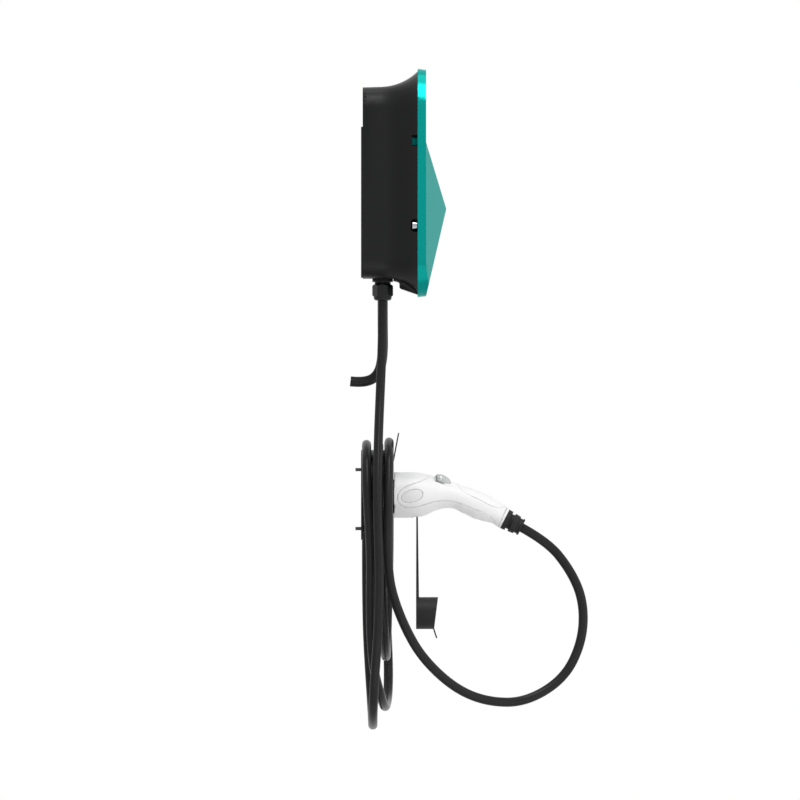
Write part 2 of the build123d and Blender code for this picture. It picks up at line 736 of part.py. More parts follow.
def small_screws(places, seat):
    """Pan-head screws with their heads on a seat that far from the wall."""
    screws = []
    for x, z in places:
        head = rod(SMALL_SCREW_HEAD_R, SMALL_SCREW_HEAD, (x, -seat, z), (0, -1, 0))
        rim = head.edges().filter_by(GeomType.CIRCLE).sort_by(Axis.Y)[0]
        head = fillet(rim, SMALL_SCREW_ROUND)
        shank = rod(SMALL_SCREW_R, SMALL_SCREW_LENGTH, (x, -seat, z), (0, 1, 0))
        screws.append(head + shank)
    return Compound(children=screws)


def rail_module(width, x, height, deep, nose_height, shoulder, poles):
    """A device clipped on the rail: stepped front, claws round the flanges, screws and wire mouths."""
    flange_front = rail_back() + RAIL_DEEP
    claw_back = flange_front - CLAW_DEEP
    front = flange_front + deep
    body = Pos(-(claw_back + front) / 2, RAIL_Z) * Rectangle(front - claw_back, height)
    lip_front = flange_front - RAIL_THICK - RUNNING_FIT
    lip_room = Rectangle(lip_front - claw_back, RAIL_HEIGHT - 2 * CLAW_LIP)
    body -= Pos(-(claw_back + lip_front) / 2, RAIL_Z) * lip_room
    flange_room = Rectangle(RAIL_THICK + 2 * RUNNING_FIT, RAIL_HEIGHT + 2 * RUNNING_FIT)
    body -= Pos(-flange_front + RAIL_THICK / 2, RAIL_Z) * flange_room
    step = flange_front + shoulder
    for side in (-1, 1):
        step_z = RAIL_Z + side * (nose_height + height) / 4
        body -= Pos(-(step + front) / 2, step_z) * Rectangle(front - step, (height - nose_height) / 2)
    module = Pos(x) * extrude(Plane.YZ * body, amount=width / 2, both=True)
    pitch = width / poles
    for pole in range(poles):
        pole_x = x + (pole - (poles - 1) / 2) * pitch
        for side in (-1, 1):
            screw_z = RAIL_Z + side * (nose_height + height) / 4
            module -= rod(
                TERMINAL_SCREW_R, TERMINAL_SCREW_DEEP, (pole_x, -step + TERMINAL_SCREW_DEEP, screw_z), (0, -1, 0)
            )
            mouth_z = RAIL_Z + side * (height / 2 - TERMINAL_SCREW_DEEP / 2)
            mouth_y = -step + TERMINAL_SCREW_DEEP + TERMINAL_MOUTH
            module -= block(TERMINAL_MOUTH, TERMINAL_MOUTH, TERMINAL_SCREW_DEEP, (pole_x, mouth_y, mouth_z))
    return module


def rail_modules():
    """The three devices side by side on the rail."""
    total = CONTACTOR_WIDTH + FAULT_SENSOR_WIDTH + TERMINAL_BLOCK_WIDTH + 2 * MODULE_GAP
    contactor_x = -total / 2 + CONTACTOR_WIDTH / 2
    sensor_x = contactor_x + (CONTACTOR_WIDTH + FAULT_SENSOR_WIDTH) / 2 + MODULE_GAP
    block_x = sensor_x + (FAULT_SENSOR_WIDTH + TERMINAL_BLOCK_WIDTH) / 2 + MODULE_GAP
    tall = (MODULE_HEIGHT, MODULE_DEEP, MODULE_NOSE_HEIGHT, MODULE_SHOULDER)
    low = (BLOCK_HEIGHT, BLOCK_DEEP, BLOCK_NOSE_HEIGHT, BLOCK_SHOULDER)
    return {
        "power_contactor": rail_module(CONTACTOR_WIDTH, contactor_x, *tall, CONTACTOR_POLES),
        "fault_sensor": rail_module(FAULT_SENSOR_WIDTH, sensor_x, *tall, FAULT_SENSOR_POLES),
        "terminal_block": rail_module(TERMINAL_BLOCK_WIDTH, block_x, *low, TERMINAL_BLOCK_POLES),
    }


def board_back():
    """How far the back of the board stands in front of the wall."""
    return HOUSING_BACK + HOUSING_WALL + BOARD_STAND


def control_board():
    """The bare board with its four screw holes."""
    board = block(BOARD_WIDTH, BOARD_THICK, BOARD_HEIGHT, (0, -board_back() - BOARD_THICK / 2, BOARD_Z))
    for x, z in board_screw_places():
        board -= rod(SMALL_SCREW_R + THREAD_FIT, BOARD_THICK, (x, -board_back(), z), (0, -1, 0))
    return board


def board_parts():
    """What stands on the board: relays, a capacitor pair, plug sockets and the processor."""
    seat = board_back() + BOARD_THICK
    parts = []

    def on_board(size, x, z):
        wide, tall, high = size
        return block(wide, high, tall, (x, -seat - high / 2, BOARD_Z + z))

    for number in range(BOARD_RELAY_COUNT):
        x = (number - (BOARD_RELAY_COUNT - 1) / 2) * BOARD_RELAY_PITCH
        relay = on_board(BOARD_RELAY_SIZE, x, BOARD_HEIGHT / 4)
        parts.append(fillet(relay.edges().filter_by(Axis.Y), BOARD_RELAY_ROUND))
    for side in (-1, 1):
        x = side * BOARD_WIDTH / 4
        parts.append(rod(BOARD_CAN_R, BOARD_CAN_HEIGHT, (x, -seat, BOARD_Z), (0, -1, 0)))
        parts.append(on_board(BOARD_PLUG_SIZE, x, -BOARD_HEIGHT / 2 + BOARD_PLUG_SIZE[1]))
    parts.append(on_board(BOARD_CHIP_SIZE, 0, -BOARD_CHIP_SIZE[1] / 2))
    return Compound(children=parts)


def gland_levels():
    """The heights of a gland's steps below the floor: seal, flange, neck, hexagon and dome."""
    seal = FLOOR_Z - GLAND_SEAL_THICK
    flange = seal - GLAND_FLANGE
    neck = flange - GLAND_NECK
    hexagon = neck - GLAND_NUT_HEX
    return seal, flange, neck, hexagon, hexagon - GLAND_NUT_DOME


def gland_body(place, cable_r):
    """The fixed half of a gland: thread through the floor, flange, neck and the stub in the nut."""
    x, y, _ = place
    seal, flange, neck, hexagon, _ = gland_levels()
    thread = rod(GLAND_THREAD_R, FLOOR_Z + HOUSING_WALL + GLAND_INSIDE - seal, (x, y, seal), (0, 0, 1))
    body = thread + rod(GLAND_FLANGE_R, GLAND_FLANGE, (x, y, seal), (0, 0, -1))
    body += rod(GLAND_NECK_R, GLAND_NECK, (x, y, flange), (0, 0, -1))
    stub = (neck - hexagon) * GLAND_STUB_SHARE
    body += rod(GLAND_STUB_R, stub, (x, y, neck), (0, 0, -1))
    top = FLOOR_Z + HOUSING_WALL + GLAND_INSIDE
    return body - rod(cable_r + CABLE_FIT, top - neck + stub, (x, y, top), (0, 0, -1))


def gland_nut(place, cable_r):
    """The hexagonal cap nut with its rounded end, one corner towards each side."""
    x, y, _ = place
    _, _, neck, hexagon, end = gland_levels()
    hexagon_r = GLAND_NUT_ACROSS_FLATS / math.sqrt(3)
    base = Plane(origin=(x, y, neck), x_dir=(0, 1, 0), z_dir=(0, 0, -1))
    prism = extrude(base * RegularPolygon(hexagon_r, 6), amount=neck - hexagon)
    crown = rod(hexagon_r, neck - hexagon, (x, y, neck), (0, 0, -1))
    crown = chamfer(crown.edges().filter_by(GeomType.CIRCLE), hexagon_r - GLAND_NUT_ACROSS_FLATS / 2)
    dome = rod(GLAND_NUT_ACROSS_FLATS / 2 - RUNNING_FIT, hexagon - end, (x, y, hexagon), (0, 0, -1))
    dome = fillet(dome.edges().filter_by(GeomType.CIRCLE).sort_by(Axis.Z)[0], GLAND_NUT_ROUND)
    stub = (neck - hexagon) * GLAND_STUB_SHARE
    room = rod(GLAND_STUB_R + RUNNING_FIT, stub + LOOSE_FIT, (x, y, neck), (0, 0, -1))
    bore = rod(cable_r + CABLE_FIT, neck - end, (x, y, neck), (0, 0, -1))
    return (prism & crown) + dome - room - bore


def gland_locknuts():
    """The flat hexagon nuts that hold the glands from inside."""
    nuts = []
    for x, y, _ in gland_places().values():
        base = Plane(origin=(x, y, FLOOR_Z + HOUSING_WALL), z_dir=(0, 0, 1))
        nut = extrude(base * RegularPolygon(GLAND_LOCKNUT_FLATS / math.sqrt(3), 6), amount=GLAND_LOCKNUT_THICK)
        nuts.append(nut - rod(GLAND_THREAD_R + RUNNING_FIT, GLAND_LOCKNUT_THICK, tuple(base.origin), (0, 0, 1)))
    return Compound(children=nuts)


def gland_seals():
    """The rubber rings between the glands' flanges and the floor."""
    rings = []
    for place in gland_places().values():
        ring = rod(GLAND_FLANGE_R, GLAND_SEAL_THICK, place, (0, 0, -1))
        rings.append(ring - rod(GLAND_THREAD_R + RUNNING_FIT, GLAND_SEAL_THICK, place, (0, 0, -1)))
    return Compound(children=rings)


def holder_screw_places():
    """The holder's four wall screws, as X and Z."""
    half_x = HOLDER_SCREW_SPACING_X / 2
    half_z = HOLDER_SCREW_SPACING_Z / 2
    return [(x, HOLDER_SCREW_MIDDLE_Z + z) for x in (-half_x, half_x) for z in (-half_z, half_z)]


def plug_holder():
    """The moulded holder: wall plate, half drum for the turns of cable, leaning lip and plug socket."""
    disc = Pos(0, PLUG_Z) * Circle(DRUM_R)
    lower = PLUG_Z - HOLDER_PLATE_BOTTOM_Z
    foot = Pos(0, PLUG_Z - lower / 2) * Rectangle(HOLDER_PLATE_WIDTH, lower)
    foot = fillet(foot.vertices().group_by(Axis.Y)[0], HOLDER_PLATE_CORNER)
    half = Pos(0, PLUG_Z - DRUM_SKIRT + DRUM_R) * Rectangle(2 * DRUM_R, 2 * DRUM_R)
    plate = slab(wall_plane(0) * (foot + (disc & half)), HOLDER_PLATE_THICK)
    ring = disc - Pos(0, PLUG_Z) * Circle(DRUM_R - DRUM_WALL)
    drum = slab(wall_plane(0) * (ring & half), DRUM_FRONT)
    socket_r = NOSE_R + LOOSE_FIT
    tube = Pos(0, PLUG_Z) * Circle(socket_r + SOCKET_WALL)
    tube -= Pos(0, PLUG_Z) * Circle(socket_r)
    socket = slab(wall_plane(0) * tube, DRUM_FRONT)
    face = slab(wall_plane(DRUM_FRONT - DRUM_FACE) * ((disc & half) - Pos(0, PLUG_Z) * Circle(socket_r)), DRUM_FACE)
    holder = plate + drum + socket + face
    rib_inner = socket_r + SOCKET_WALL / 2
    rib_outer = DRUM_R - DRUM_WALL / 2
    for angle in RIB_ANGLES:
        rib = Rot(0, -angle, 0) * block(
            rib_outer - rib_inner, DRUM_FRONT, RIB_THICK, ((rib_inner + rib_outer) / 2, -DRUM_FRONT / 2, 0)
        )
        holder += Pos(0, 0, PLUG_Z) * rib
    for x, z in holder_screw_places():
        holder -= rod(HOLDER_SCREW_SHANK_R + THREAD_FIT, HOLDER_PLATE_THICK, (x, 0, z), (0, -1, 0))
        face_back = -DRUM_FRONT + DRUM_FACE
        holder -= rod(SCREW_ACCESS_R, DRUM_FACE, (x, face_back, z), (0, -1, 0))
    return holder + holder_lip()


def holder_lip():
    """The tall thin lip that keeps the turns on the drum: it leans forward and has round top corners."""
    root = -DRUM_FRONT + LIP_THICK / 2
    side = make_face(
        Polyline(
            (root, LIP_ROOT_Z),
            (root - LIP_THICK, LIP_ROOT_Z),
            (root - LIP_LEAN - LIP_THICK, LIP_TOP_Z),
            (root - LIP_LEAN, LIP_TOP_Z),
            close=True,
        )
    )
    lip = extrude(Plane.YZ * side, amount=LIP_WIDTH / 2, both=True)
    height = LIP_TOP_Z - LIP_ROOT_Z
    front = Pos(0, LIP_ROOT_Z + height / 2) * Rectangle(LIP_WIDTH, height)
    front = fillet(front.vertices().group_by(Axis.Y)[-1], LIP_CORNER)
    return lip & slab(wall_plane(0) * front, DRUM_FRONT + LIP_LEAN + 2 * LIP_THICK)


def holder_screws():
    """Four screws: head on the plate, shank through it and thread standing out behind into the wall."""
    screws = []
    for x, z in holder_screw_places():
        head = rod(HOLDER_SCREW_HEAD_R, HOLDER_SCREW_HEAD, (x, -HOLDER_PLATE_THICK, z), (0, -1, 0))
        rim = head.edges().filter_by(GeomType.CIRCLE).sort_by(Axis.Y)[0]
        head = fillet(rim, HOLDER_SCREW_HEAD / 2)
        shank = rod(HOLDER_SCREW_SHANK_R, HOLDER_PLATE_THICK, (x, -HOLDER_PLATE_THICK, z), (0, 1, 0))
        thread = rod(HOLDER_SCREW_THREAD_R, HOLDER_SCREW_OUT, (x, 0, z), (0, 1, 0))
        screws.append(head + shank + thread)
    return Compound(children=screws)


def plug_section(place, width, height, tilt):
    """One oval section of the plug's body, square to its line."""
    y, z = place
    lean = math.radians(tilt)
    plane = Plane(origin=(0, y, z), x_dir=(1, 0, 0), z_dir=(0, -math.cos(lean), -math.sin(lean)))
    return plane * Ellipse(width / 2, height / 2)


def plug_body():
    """The whole outer form of the plug's shells, from the nose's shoulder to the strain relief."""
    return loft([plug_section(*section) for section in SHELL_SECTIONS])


def side_prism(outline, half_width=SIDE_CUT):
    """A flat side view outline, in Y and Z, made solid across the plug."""
    return extrude(Plane.YZ * outline, amount=half_width, both=True)


def region_beyond(seam_points, gap):
    """The side view area above a seam line and out past the plug, moved in from the line by a gap."""
    line = Spline(*seam_points)
    shares = [line.param_at_point(point) for point in seam_points]
    moved = [line @ share + (line % share).rotate(Axis.Z, -90) * gap for share in shares]
    shifted = Spline(*moved)
    first = shifted @ 0
    last = shifted @ 1
    rest = Polyline(last, (FAR_Y, last.Y), (FAR_Y, FAR_Z), (first.X, FAR_Z), first)
    return make_face([shifted, *rest.edges()])


def relief_base():
    """The plane square to the grip where the strain relief starts."""
    y, z = SHELL_SECTIONS[-1][0]
    lean = math.radians(RELIEF_TILT)
    return Plane(origin=(0, y, z), x_dir=(1, 0, 0), z_dir=(0, -math.cos(lean), -math.sin(lean)))


def inlay_outline(seam):
    """The side view of the oval inlay."""
    oval = Ellipse(INLAY_LONG / 2 - seam, INLAY_TALL / 2 - seam)
    return Pos(INLAY_Y, INLAY_Z) * Rot(0, 0, -INLAY_TILT) * oval


def inlay_prism(side, seam):
    """An oval bar on one side of the plug, from the inlay's floor out past the shell."""
    depth = SIDE_CUT - INLAY_INNER_X
    bar = extrude(Plane.YZ * inlay_outline(seam), amount=depth / 2, both=True)
    return Pos(side * (SIDE_CUT - depth / 2)) * bar


def button_profile(room):
    """The side view of the release button, or with a room the outline of its well."""
    ends = {0: room, len(BUTTON_TOP) - 1: -room}
    top = [
        (BUTTON_PIN_Y + y + ends.get(number, 0.0), BUTTON_PIN_Z + z + room)
        for number, (y, z) in enumerate(BUTTON_TOP)
    ]
    floor_z = BUTTON_PIN_Z - BUTTON_FLOOR - room
    return make_face(Polyline((top[0][0], floor_z), *top, (top[-1][0], floor_z - BUTTON_TIP_DROP), close=True))


def plug_button():
    """The release button: a wedge as wide as the handle's back, bored for its pin."""
    button = extrude(Plane.YZ * button_profile(0.0), amount=BUTTON_WIDTH / 2, both=True)
    button = fillet(button.edges().filter_by(Axis.X), BUTTON_EDGE)
    return button - button_post(LOOSE_FIT, BUTTON_POST_ROOM) - button_axis_bar(BUTTON_PIN_R + RUNNING_FIT)


def button_axis_bar(radius):
    """A bar across the plug on the button's axis."""
    return rod(radius, BUTTON_WIDTH, (-BUTTON_WIDTH / 2, BUTTON_PIN_Y, BUTTON_PIN_Z), (1, 0, 0))


def button_room():
    """The well in the handle that the button sits in, with room to rock."""
    well = button_profile(BUTTON_ROOM)
    half = BUTTON_WIDTH / 2 + BUTTON_ROOM
    deep = Pos(0, -BUTTON_TRAVEL_ROOM) * well
    return extrude(Plane.YZ * (well + deep), amount=half, both=True)


def button_pin():
    """The pin the button rocks on, its ends flush with the button's sides."""
    return button_axis_bar(BUTTON_PIN_R)


def button_post(side_room, end_room):
    """The post in the well that carries the button's pin, or with rooms the slot it stands in."""
    foot = BUTTON_PIN_R + BUTTON_POST_WALL
    deep = BUTTON_FLOOR + BUTTON_TRAVEL_ROOM + BUTTON_PIN_R
    wide = BUTTON_POST_WIDTH + 2 * side_room
    middle_z = BUTTON_PIN_Z + (foot + end_room - deep) / 2
    return block(wide, 2 * (foot + end_room), deep + foot + end_room, (0, BUTTON_PIN_Y, middle_z))


def plug_nose():
    """The nose that mates with the car: a round tube with a flat top, closed behind by the shells."""
    y = SHELL_FRONT_Y
    outline = Circle(NOSE_R) & Pos(0, NOSE_FLAT - NOSE_R) * Rectangle(2 * NOSE_R, 2 * NOSE_R)
    inner = offset(outline, amount=-NOSE_WALL)
    base = Plane(origin=(0, y, PLUG_Z), x_dir=(1, 0, 0), z_dir=(0, 1, 0))
    up = Rot(0, 0, 180)
    nose = extrude(base * (up * (outline - inner)), amount=NOSE_LENGTH)
    return nose


def contact_places():
    """The seven contacts' places about the nose's axis, with their inner radii."""
    big = CONTACT_BIG_R
    small = CONTACT_SMALL_R
    return [
        (0.0, 0.0, big),
        (-CONTACT_ROW, 0.0, big),
        (CONTACT_ROW, 0.0, big),
        (-CONTACT_HALF_ROW, -CONTACT_DOWN, big),
        (CONTACT_HALF_ROW, -CONTACT_DOWN, big),
        (-CONTACT_HALF_ROW, CONTACT_UP, small),
        (CONTACT_HALF_ROW, CONTACT_UP, small),
    ]


def plug_insert():
    """The insulating block in the nose, with a well for each contact."""
    outline = Circle(NOSE_R) & Pos(0, NOSE_FLAT - NOSE_R) * Rectangle(2 * NOSE_R, 2 * NOSE_R)
    inner = offset(outline, amount=-NOSE_WALL - RUNNING_FIT)
    base = Plane(origin=(0, SHELL_FRONT_Y, PLUG_Z), x_dir=(1, 0, 0), z_dir=(0, 1, 0))
    block_form = extrude(base * (Rot(0, 0, 180) * inner), amount=NOSE_LENGTH - INSERT_SINK)
    face_y = SHELL_FRONT_Y + NOSE_LENGTH - INSERT_SINK
    for x, z, radius in contact_places():
        well = rod(radius + CONTACT_WALL + RUNNING_FIT, CONTACT_LENGTH, (x, face_y, PLUG_Z + z), (0, -1, 0))
        block_form -= well
    return block_form


def plug_contacts():
    """Seven brass sleeves in the insert's wells."""
    sleeves = []
    face_y = SHELL_FRONT_Y + NOSE_LENGTH - INSERT_SINK
    for x, z, radius in contact_places():
        start = (x, face_y - CONTACT_WALL, PLUG_Z + z)
        length = CONTACT_LENGTH - CONTACT_WALL
        sleeve = rod(radius + CONTACT_WALL, length, start, (0, -1, 0))
        sleeves.append(sleeve - rod(radius, length - CONTACT_WALL, start, (0, -1, 0)))
    return Compound(children=sleeves)


def cap_slot():
    """The slot in the plug's belly that the cap's strap hangs in."""
    height = CAP_PIN_Z + STRAP_SLOT_TOP - CAP_SLOT_BOTTOM_Z
    z = CAP_PIN_Z + STRAP_SLOT_TOP - height / 2
    return block(STRAP_WIDTH + 2 * LOOSE_FIT, STRAP_SLOT, height, (0, CAP_PIN_Y, z))


def strap_pin():
    """The pin across the slot, pressed into the shell on both sides."""
    half = STRAP_WIDTH / 2 + STRAP_PIN_SINK
    return rod(CAP_PIN_R, 2 * half, (-half, CAP_PIN_Y, CAP_PIN_Z), (1, 0, 0))


def plug_shells():
    """The plug's outer shells, cut from one form along the seams of the side view."""
    form = plug_body()
    handle_side = side_prism(region_beyond(HANDLE_SEAM, 0.0))
    handle_part = side_prism(region_beyond(HANDLE_SEAM, SEAM))
    strip_side = side_prism(region_beyond(STRIP_SEAM, 0.0))
    strip_part = side_prism(region_beyond(STRIP_SEAM, SEAM))
    collar_cut = relief_base().offset(-COLLAR_LENGTH - SEAM)
    collar_start = relief_base().offset(-COLLAR_LENGTH)
    beyond = extrude(collar_cut * Circle(END_CUT), amount=END_CUT)
    collar_side = extrude(collar_start * Circle(END_CUT), amount=END_CUT)
    grip = form - beyond
    front = grip - handle_side - cap_slot() - strap_pin()
    handle = (grip & handle_part) - strip_side - button_room() + (button_post(0.0, 0.0) - button_pin())
    strip = grip & strip_part & handle_side
    collar = form & collar_side
    inlays = {}
    for side, name in ((-1, "left"), (1, "right")):
        handle -= inlay_prism(side, 0.0)
        inlays[f"side_inlay_{name}"] = form & inlay_prism(side, SEAM)
    return {
        "plug_front_shell": front,
        "plug_handle_shell": handle,
        "plug_top_strip": strip,
        "plug_end_collar": collar,
        **inlays,
    }


def strain_relief(cable_r):
    """The ribbed rubber sleeve at the end of the grip, bored for the cable."""
    points = [(0.0, 0.0), (RELIEF_RIBS[0][1], 0.0)]
    for near, near_r, far, far_r in RELIEF_RIBS:
        if near > 0:
            points += [(RELIEF_NECK_R, near), (near_r, near)]
        points += [(far_r, far), (RELIEF_NECK_R, far)]
    length = RELIEF_RIBS[-1][2]
    points = points[:-1] + [(0.0, length)]
    outline = make_face(Polyline(*points, close=True))
    turned = revolve(Plane.XZ * outline, axis=Axis.Z)
    bore = rod(cable_r + CABLE_FIT, RELIEF_BORE, (0, 0, length), (0, 0, -1))
    return relief_base().location * (turned - bore)


def dust_cap():
    """The cap and its strap in one moulding: eye, strap, slanted cup open to the wall and pull tab."""
    eye = rod(CAP_EYE_R, STRAP_WIDTH, (-STRAP_WIDTH / 2, CAP_PIN_Y, CAP_PIN_Z), (1, 0, 0))
    strap_bottom = CAP_TOP_Z - CAP_WALL
    open_y = CAP_PIN_Y + STRAP_THICK / 2
    strap_side = make_face(
        Polyline(
            (CAP_PIN_Y + STRAP_TOP_THICK / 2, CAP_PIN_Z),
            (CAP_PIN_Y - STRAP_TOP_THICK / 2, CAP_PIN_Z),
            (open_y - STRAP_FOOT_THICK, strap_bottom),
            (open_y, strap_bottom),
            close=True,
        )
    )
    strap = extrude(Plane.YZ * strap_side, amount=STRAP_WIDTH / 2, both=True)
    middle_z = CAP_TOP_Z - CAP_R
    bottom_z = CAP_TOP_Z - 2 * CAP_R
    cup = rod(CAP_R, CAP_DEEP_TOP, (0, open_y, middle_z), (0, -1, 0))
    room = rod(CAP_R - CAP_WALL, CAP_DEEP_BOTTOM - CAP_WALL, (0, open_y, middle_z), (0, -1, 0))
    slant = make_face(
        Polyline(
            (open_y, CAP_TOP_Z),
            (open_y - CAP_DEEP_TOP, CAP_TOP_Z),
            (open_y - CAP_DEEP_BOTTOM, bottom_z),
            (open_y, bottom_z),
            close=True,
        )
    )
    cup &= extrude(Plane.YZ * slant, amount=CAP_R, both=True)
    tab_y = open_y - CAP_DEEP_BOTTOM
    tab_side = make_face(
        Polyline(
            (tab_y + TAB_THICK, bottom_z + TAB_THICK),
            (tab_y, bottom_z + TAB_THICK),
            (tab_y - TAB_OUT, bottom_z - TAB_DOWN),
            (tab_y - TAB_OUT + TAB_THICK, bottom_z - TAB_DOWN),
            close=True,
        )
    )
    tab = extrude(Plane.YZ * tab_side, amount=TAB_WIDTH / 2, both=True)
    cap = eye + strap + cup + tab - room
    return cap - rod(CAP_PIN_R + RUNNING_FIT, STRAP_WIDTH, (-STRAP_WIDTH / 2, CAP_PIN_Y, CAP_PIN_Z), (1, 0, 0))


def tube(route, radius, radii_out):
    """A cable along straight runs joined by arcs, each as large as its two runs allow."""
    points = [Vector(*p) for p in route]
    radii = []
    for before, here, after in zip(points, points[1:], points[2:]):
        turn = math.radians((here - before).get_angle(after - here))
        shorter = min((here - before).length, (after - here).length)
        radii.append(RUN_SHARE * shorter / math.tan(turn / 2))
    path = FilletPolyline(*route, radius=radii)
    radii_out.append([round(value) for value in radii])
    start = Plane(origin=path @ 0, z_dir=path % 0)
    cable = sweep(start * Circle(radius), path=path)
    return cable, path.length


def coil():
    """The closed form of the three hanging turns: thin over the drum and wide at the bottom."""
    outer_middle = (COIL_TOP_Z + COIL_BOTTOM_Z) / 2
    outer = Pos(0, outer_middle) * Ellipse(COIL_HALF_WIDTH, (COIL_TOP_Z - COIL_BOTTOM_Z) / 2)
    inner_top = PLUG_Z + DRUM_R + LOOSE_FIT
    inner_middle = (inner_top + COIL_INNER_BOTTOM_Z) / 2
    inner = Pos(0, inner_middle) * Ellipse(COIL_INNER_HALF_WIDTH, (inner_top - COIL_INNER_BOTTOM_Z) / 2)
    form = slab(wall_plane(COIL_BACK) * (outer - inner), COIL_FRONT - COIL_BACK)
    return fillet(form.edges(), CHARGING_CABLE_R / 2)


def build():
    """Every piece under its node's name."""
    charging = gland_places()["charging"]
    supply = gland_places()["supply"]
    radii = []
    upper, upper_length = tube(UPPER_ROUTE, CHARGING_CABLE_R, radii)
    loop, loop_length = tube(LOOP_ROUTE, CHARGING_CABLE_R, radii)
    stub, stub_length = tube(SUPPLY_ROUTE, SUPPLY_CABLE_R, radii)
    for name, values in zip(("upper", "loop", "supply"), radii):
        print(f"{name} radii: {values}")
    for name, piece, length, radius in (
        ("upper", upper, upper_length, CHARGING_CABLE_R),
        ("loop", loop, loop_length, CHARGING_CABLE_R),
        ("supply", stub, stub_length, SUPPLY_CABLE_R),
    ):
        share = piece.volume / (math.pi * radius**2 * length)
        print(f"{name}: {length:.0f} mm long, volume is {share:.4f} of section times length")
    rail_seat = rail_back() + RAIL_THICK
    board_seat = board_back() + BOARD_THICK
    return {
        "wall_bracket": wall_bracket(),
        "rear_housing": rear_housing(),
        "cover_seal": cover_seal(),
        "front_cover": front_cover(),
        "cover_screws": cover_screws(),
        "din_rail": din_rail(),
        "rail_screws": small_screws(rail_screw_places(), rail_seat),
        **rail_modules(),
        "control_board": control_board(),
        "control_board_parts": board_parts(),
        "board_screws": small_screws(board_screw_places(), board_seat),
        "charging_gland_body": gland_body(charging, CHARGING_CABLE_R),
        "charging_gland_nut": gland_nut(charging, CHARGING_CABLE_R),
        "supply_gland_body": gland_body(supply, SUPPLY_CABLE_R),
        "supply_gland_nut": gland_nut(supply, SUPPLY_CABLE_R),
        "gland_locknuts": gland_locknuts(),
        "gland_seals": gland_seals(),
        "plug_holder": plug_holder(),
        "holder_screws": holder_screws(),
        "plug_nose": plug_nose(),
        "plug_insert": plug_insert(),
        "plug_contacts": plug_contacts(),
        **plug_shells(),
        "plug_button": plug_button(),
        "button_pin": button_pin(),
        "strain_relief": strain_relief(CHARGING_CABLE_R),
        "dust_cap": dust_cap(),
        "strap_pin": strap_pin(),
        "charging_cable_upper": upper,
        "charging_cable_coil": coil(),
        "charging_cable_loop": loop,
        "supply_cable": stub,
    }


os.makedirs("parts", exist_ok=True)
for node, shape in build().items():
    export_step(shape, f"parts/{node}.step")
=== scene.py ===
"""Wall-mounted car charging box with its coiled cable, plug and plug holder, dressed for rendering."""

import json
import logging
import math
from dataclasses import dataclass, field
from enum import Enum

import bmesh
import bpy
import numpy as np
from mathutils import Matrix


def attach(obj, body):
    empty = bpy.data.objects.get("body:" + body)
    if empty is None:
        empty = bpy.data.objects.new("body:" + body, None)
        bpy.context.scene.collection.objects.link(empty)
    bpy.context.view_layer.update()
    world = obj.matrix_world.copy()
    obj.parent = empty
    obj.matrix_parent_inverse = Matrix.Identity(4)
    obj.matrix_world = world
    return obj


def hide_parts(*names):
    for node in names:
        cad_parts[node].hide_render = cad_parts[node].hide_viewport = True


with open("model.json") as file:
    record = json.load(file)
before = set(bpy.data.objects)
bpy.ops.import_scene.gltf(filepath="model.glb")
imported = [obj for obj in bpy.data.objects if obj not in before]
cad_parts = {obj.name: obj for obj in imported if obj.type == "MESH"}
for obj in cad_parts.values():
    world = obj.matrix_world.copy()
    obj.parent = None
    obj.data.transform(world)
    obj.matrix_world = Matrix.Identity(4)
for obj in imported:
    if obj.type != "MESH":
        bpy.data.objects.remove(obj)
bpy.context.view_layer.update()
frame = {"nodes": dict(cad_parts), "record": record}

MM = 0.001
Point = tuple[float, float, float]
log = logging.getLogger("wallbox")

# Corners nearer than this, in metres, are one corner.
WELD = 2e-6
# Edges sharper than this many degrees stay crisp, unless a sub-assembly says otherwise.
CRISP_ANGLE = 32.0
# Blender's wave pattern turns this many radians for each unit of its scale.
WAVE_RADIANS = 20.0
# The noise that makes a surface drift lies mostly between these two values.
DRIFT_LOW, DRIFT_HIGH = 0.3, 0.7
# Gloss drifts by this share of a finish's roughness to either side.
GLOSS_SPREAD = 0.12
# Cosine between a face and its broken edge: flat above the first, wholly edge at the second.
EDGE_STARTS, EDGE_FULL = 0.99, 0.8
# Painted shade: what lies in the housing's shade keeps this share of its colour, and the painted shade's
# edge is this wide.
SHADE_SHARE, SHADE_EDGE_MM = 0.3, 0.4
# Steps along a cable for each point of its route; the jacket has 4 sides and 2 more for each of its steps.
ROUTE_STEPS, JACKET_STEPS = 10, 7


def linear(colour: str) -> tuple[float, float, float, float]:
    """Turn an sRGB hex colour into linear light by the standard's curve.

    Args:
        colour: The colour as #rrggbb.

    Returns:
        Red, green, blue in linear light, and an alpha of 1.
    """
    parts = [int(colour[i : i + 2], 16) / 255 for i in (1, 3, 5)]
    light = [p / 12.92 if p <= 0.04045 else ((p + 0.055) / 1.055) ** 2.4 for p in parts]
    return (light[0], light[1], light[2], 1.0)


def add_node(
    tree: bpy.types.NodeTree, kind: str, links: dict | None = None, **settings: object
) -> bpy.types.Node:
    """Add one shader node with its settings and links.

    Args:
        tree: The material's or world's node tree.
        kind: The node's type name without "ShaderNode".
        links: For each input, by name or number, the output socket that feeds it.
        **settings: Node properties, or input values by name with spaces written as underscores.

    Returns:
        The new node.
    """
    node = tree.nodes.new("ShaderNode" + kind)
    for key, value in settings.items():
        if hasattr(node, key):
            setattr(node, key, value)
    for key, value in settings.items():
        if not hasattr(node, key):
            node.inputs[key.replace("_", " ")].default_value = value
    for key, socket in (links or {}).items():
        tree.links.new(socket, node.inputs[key])
    return node


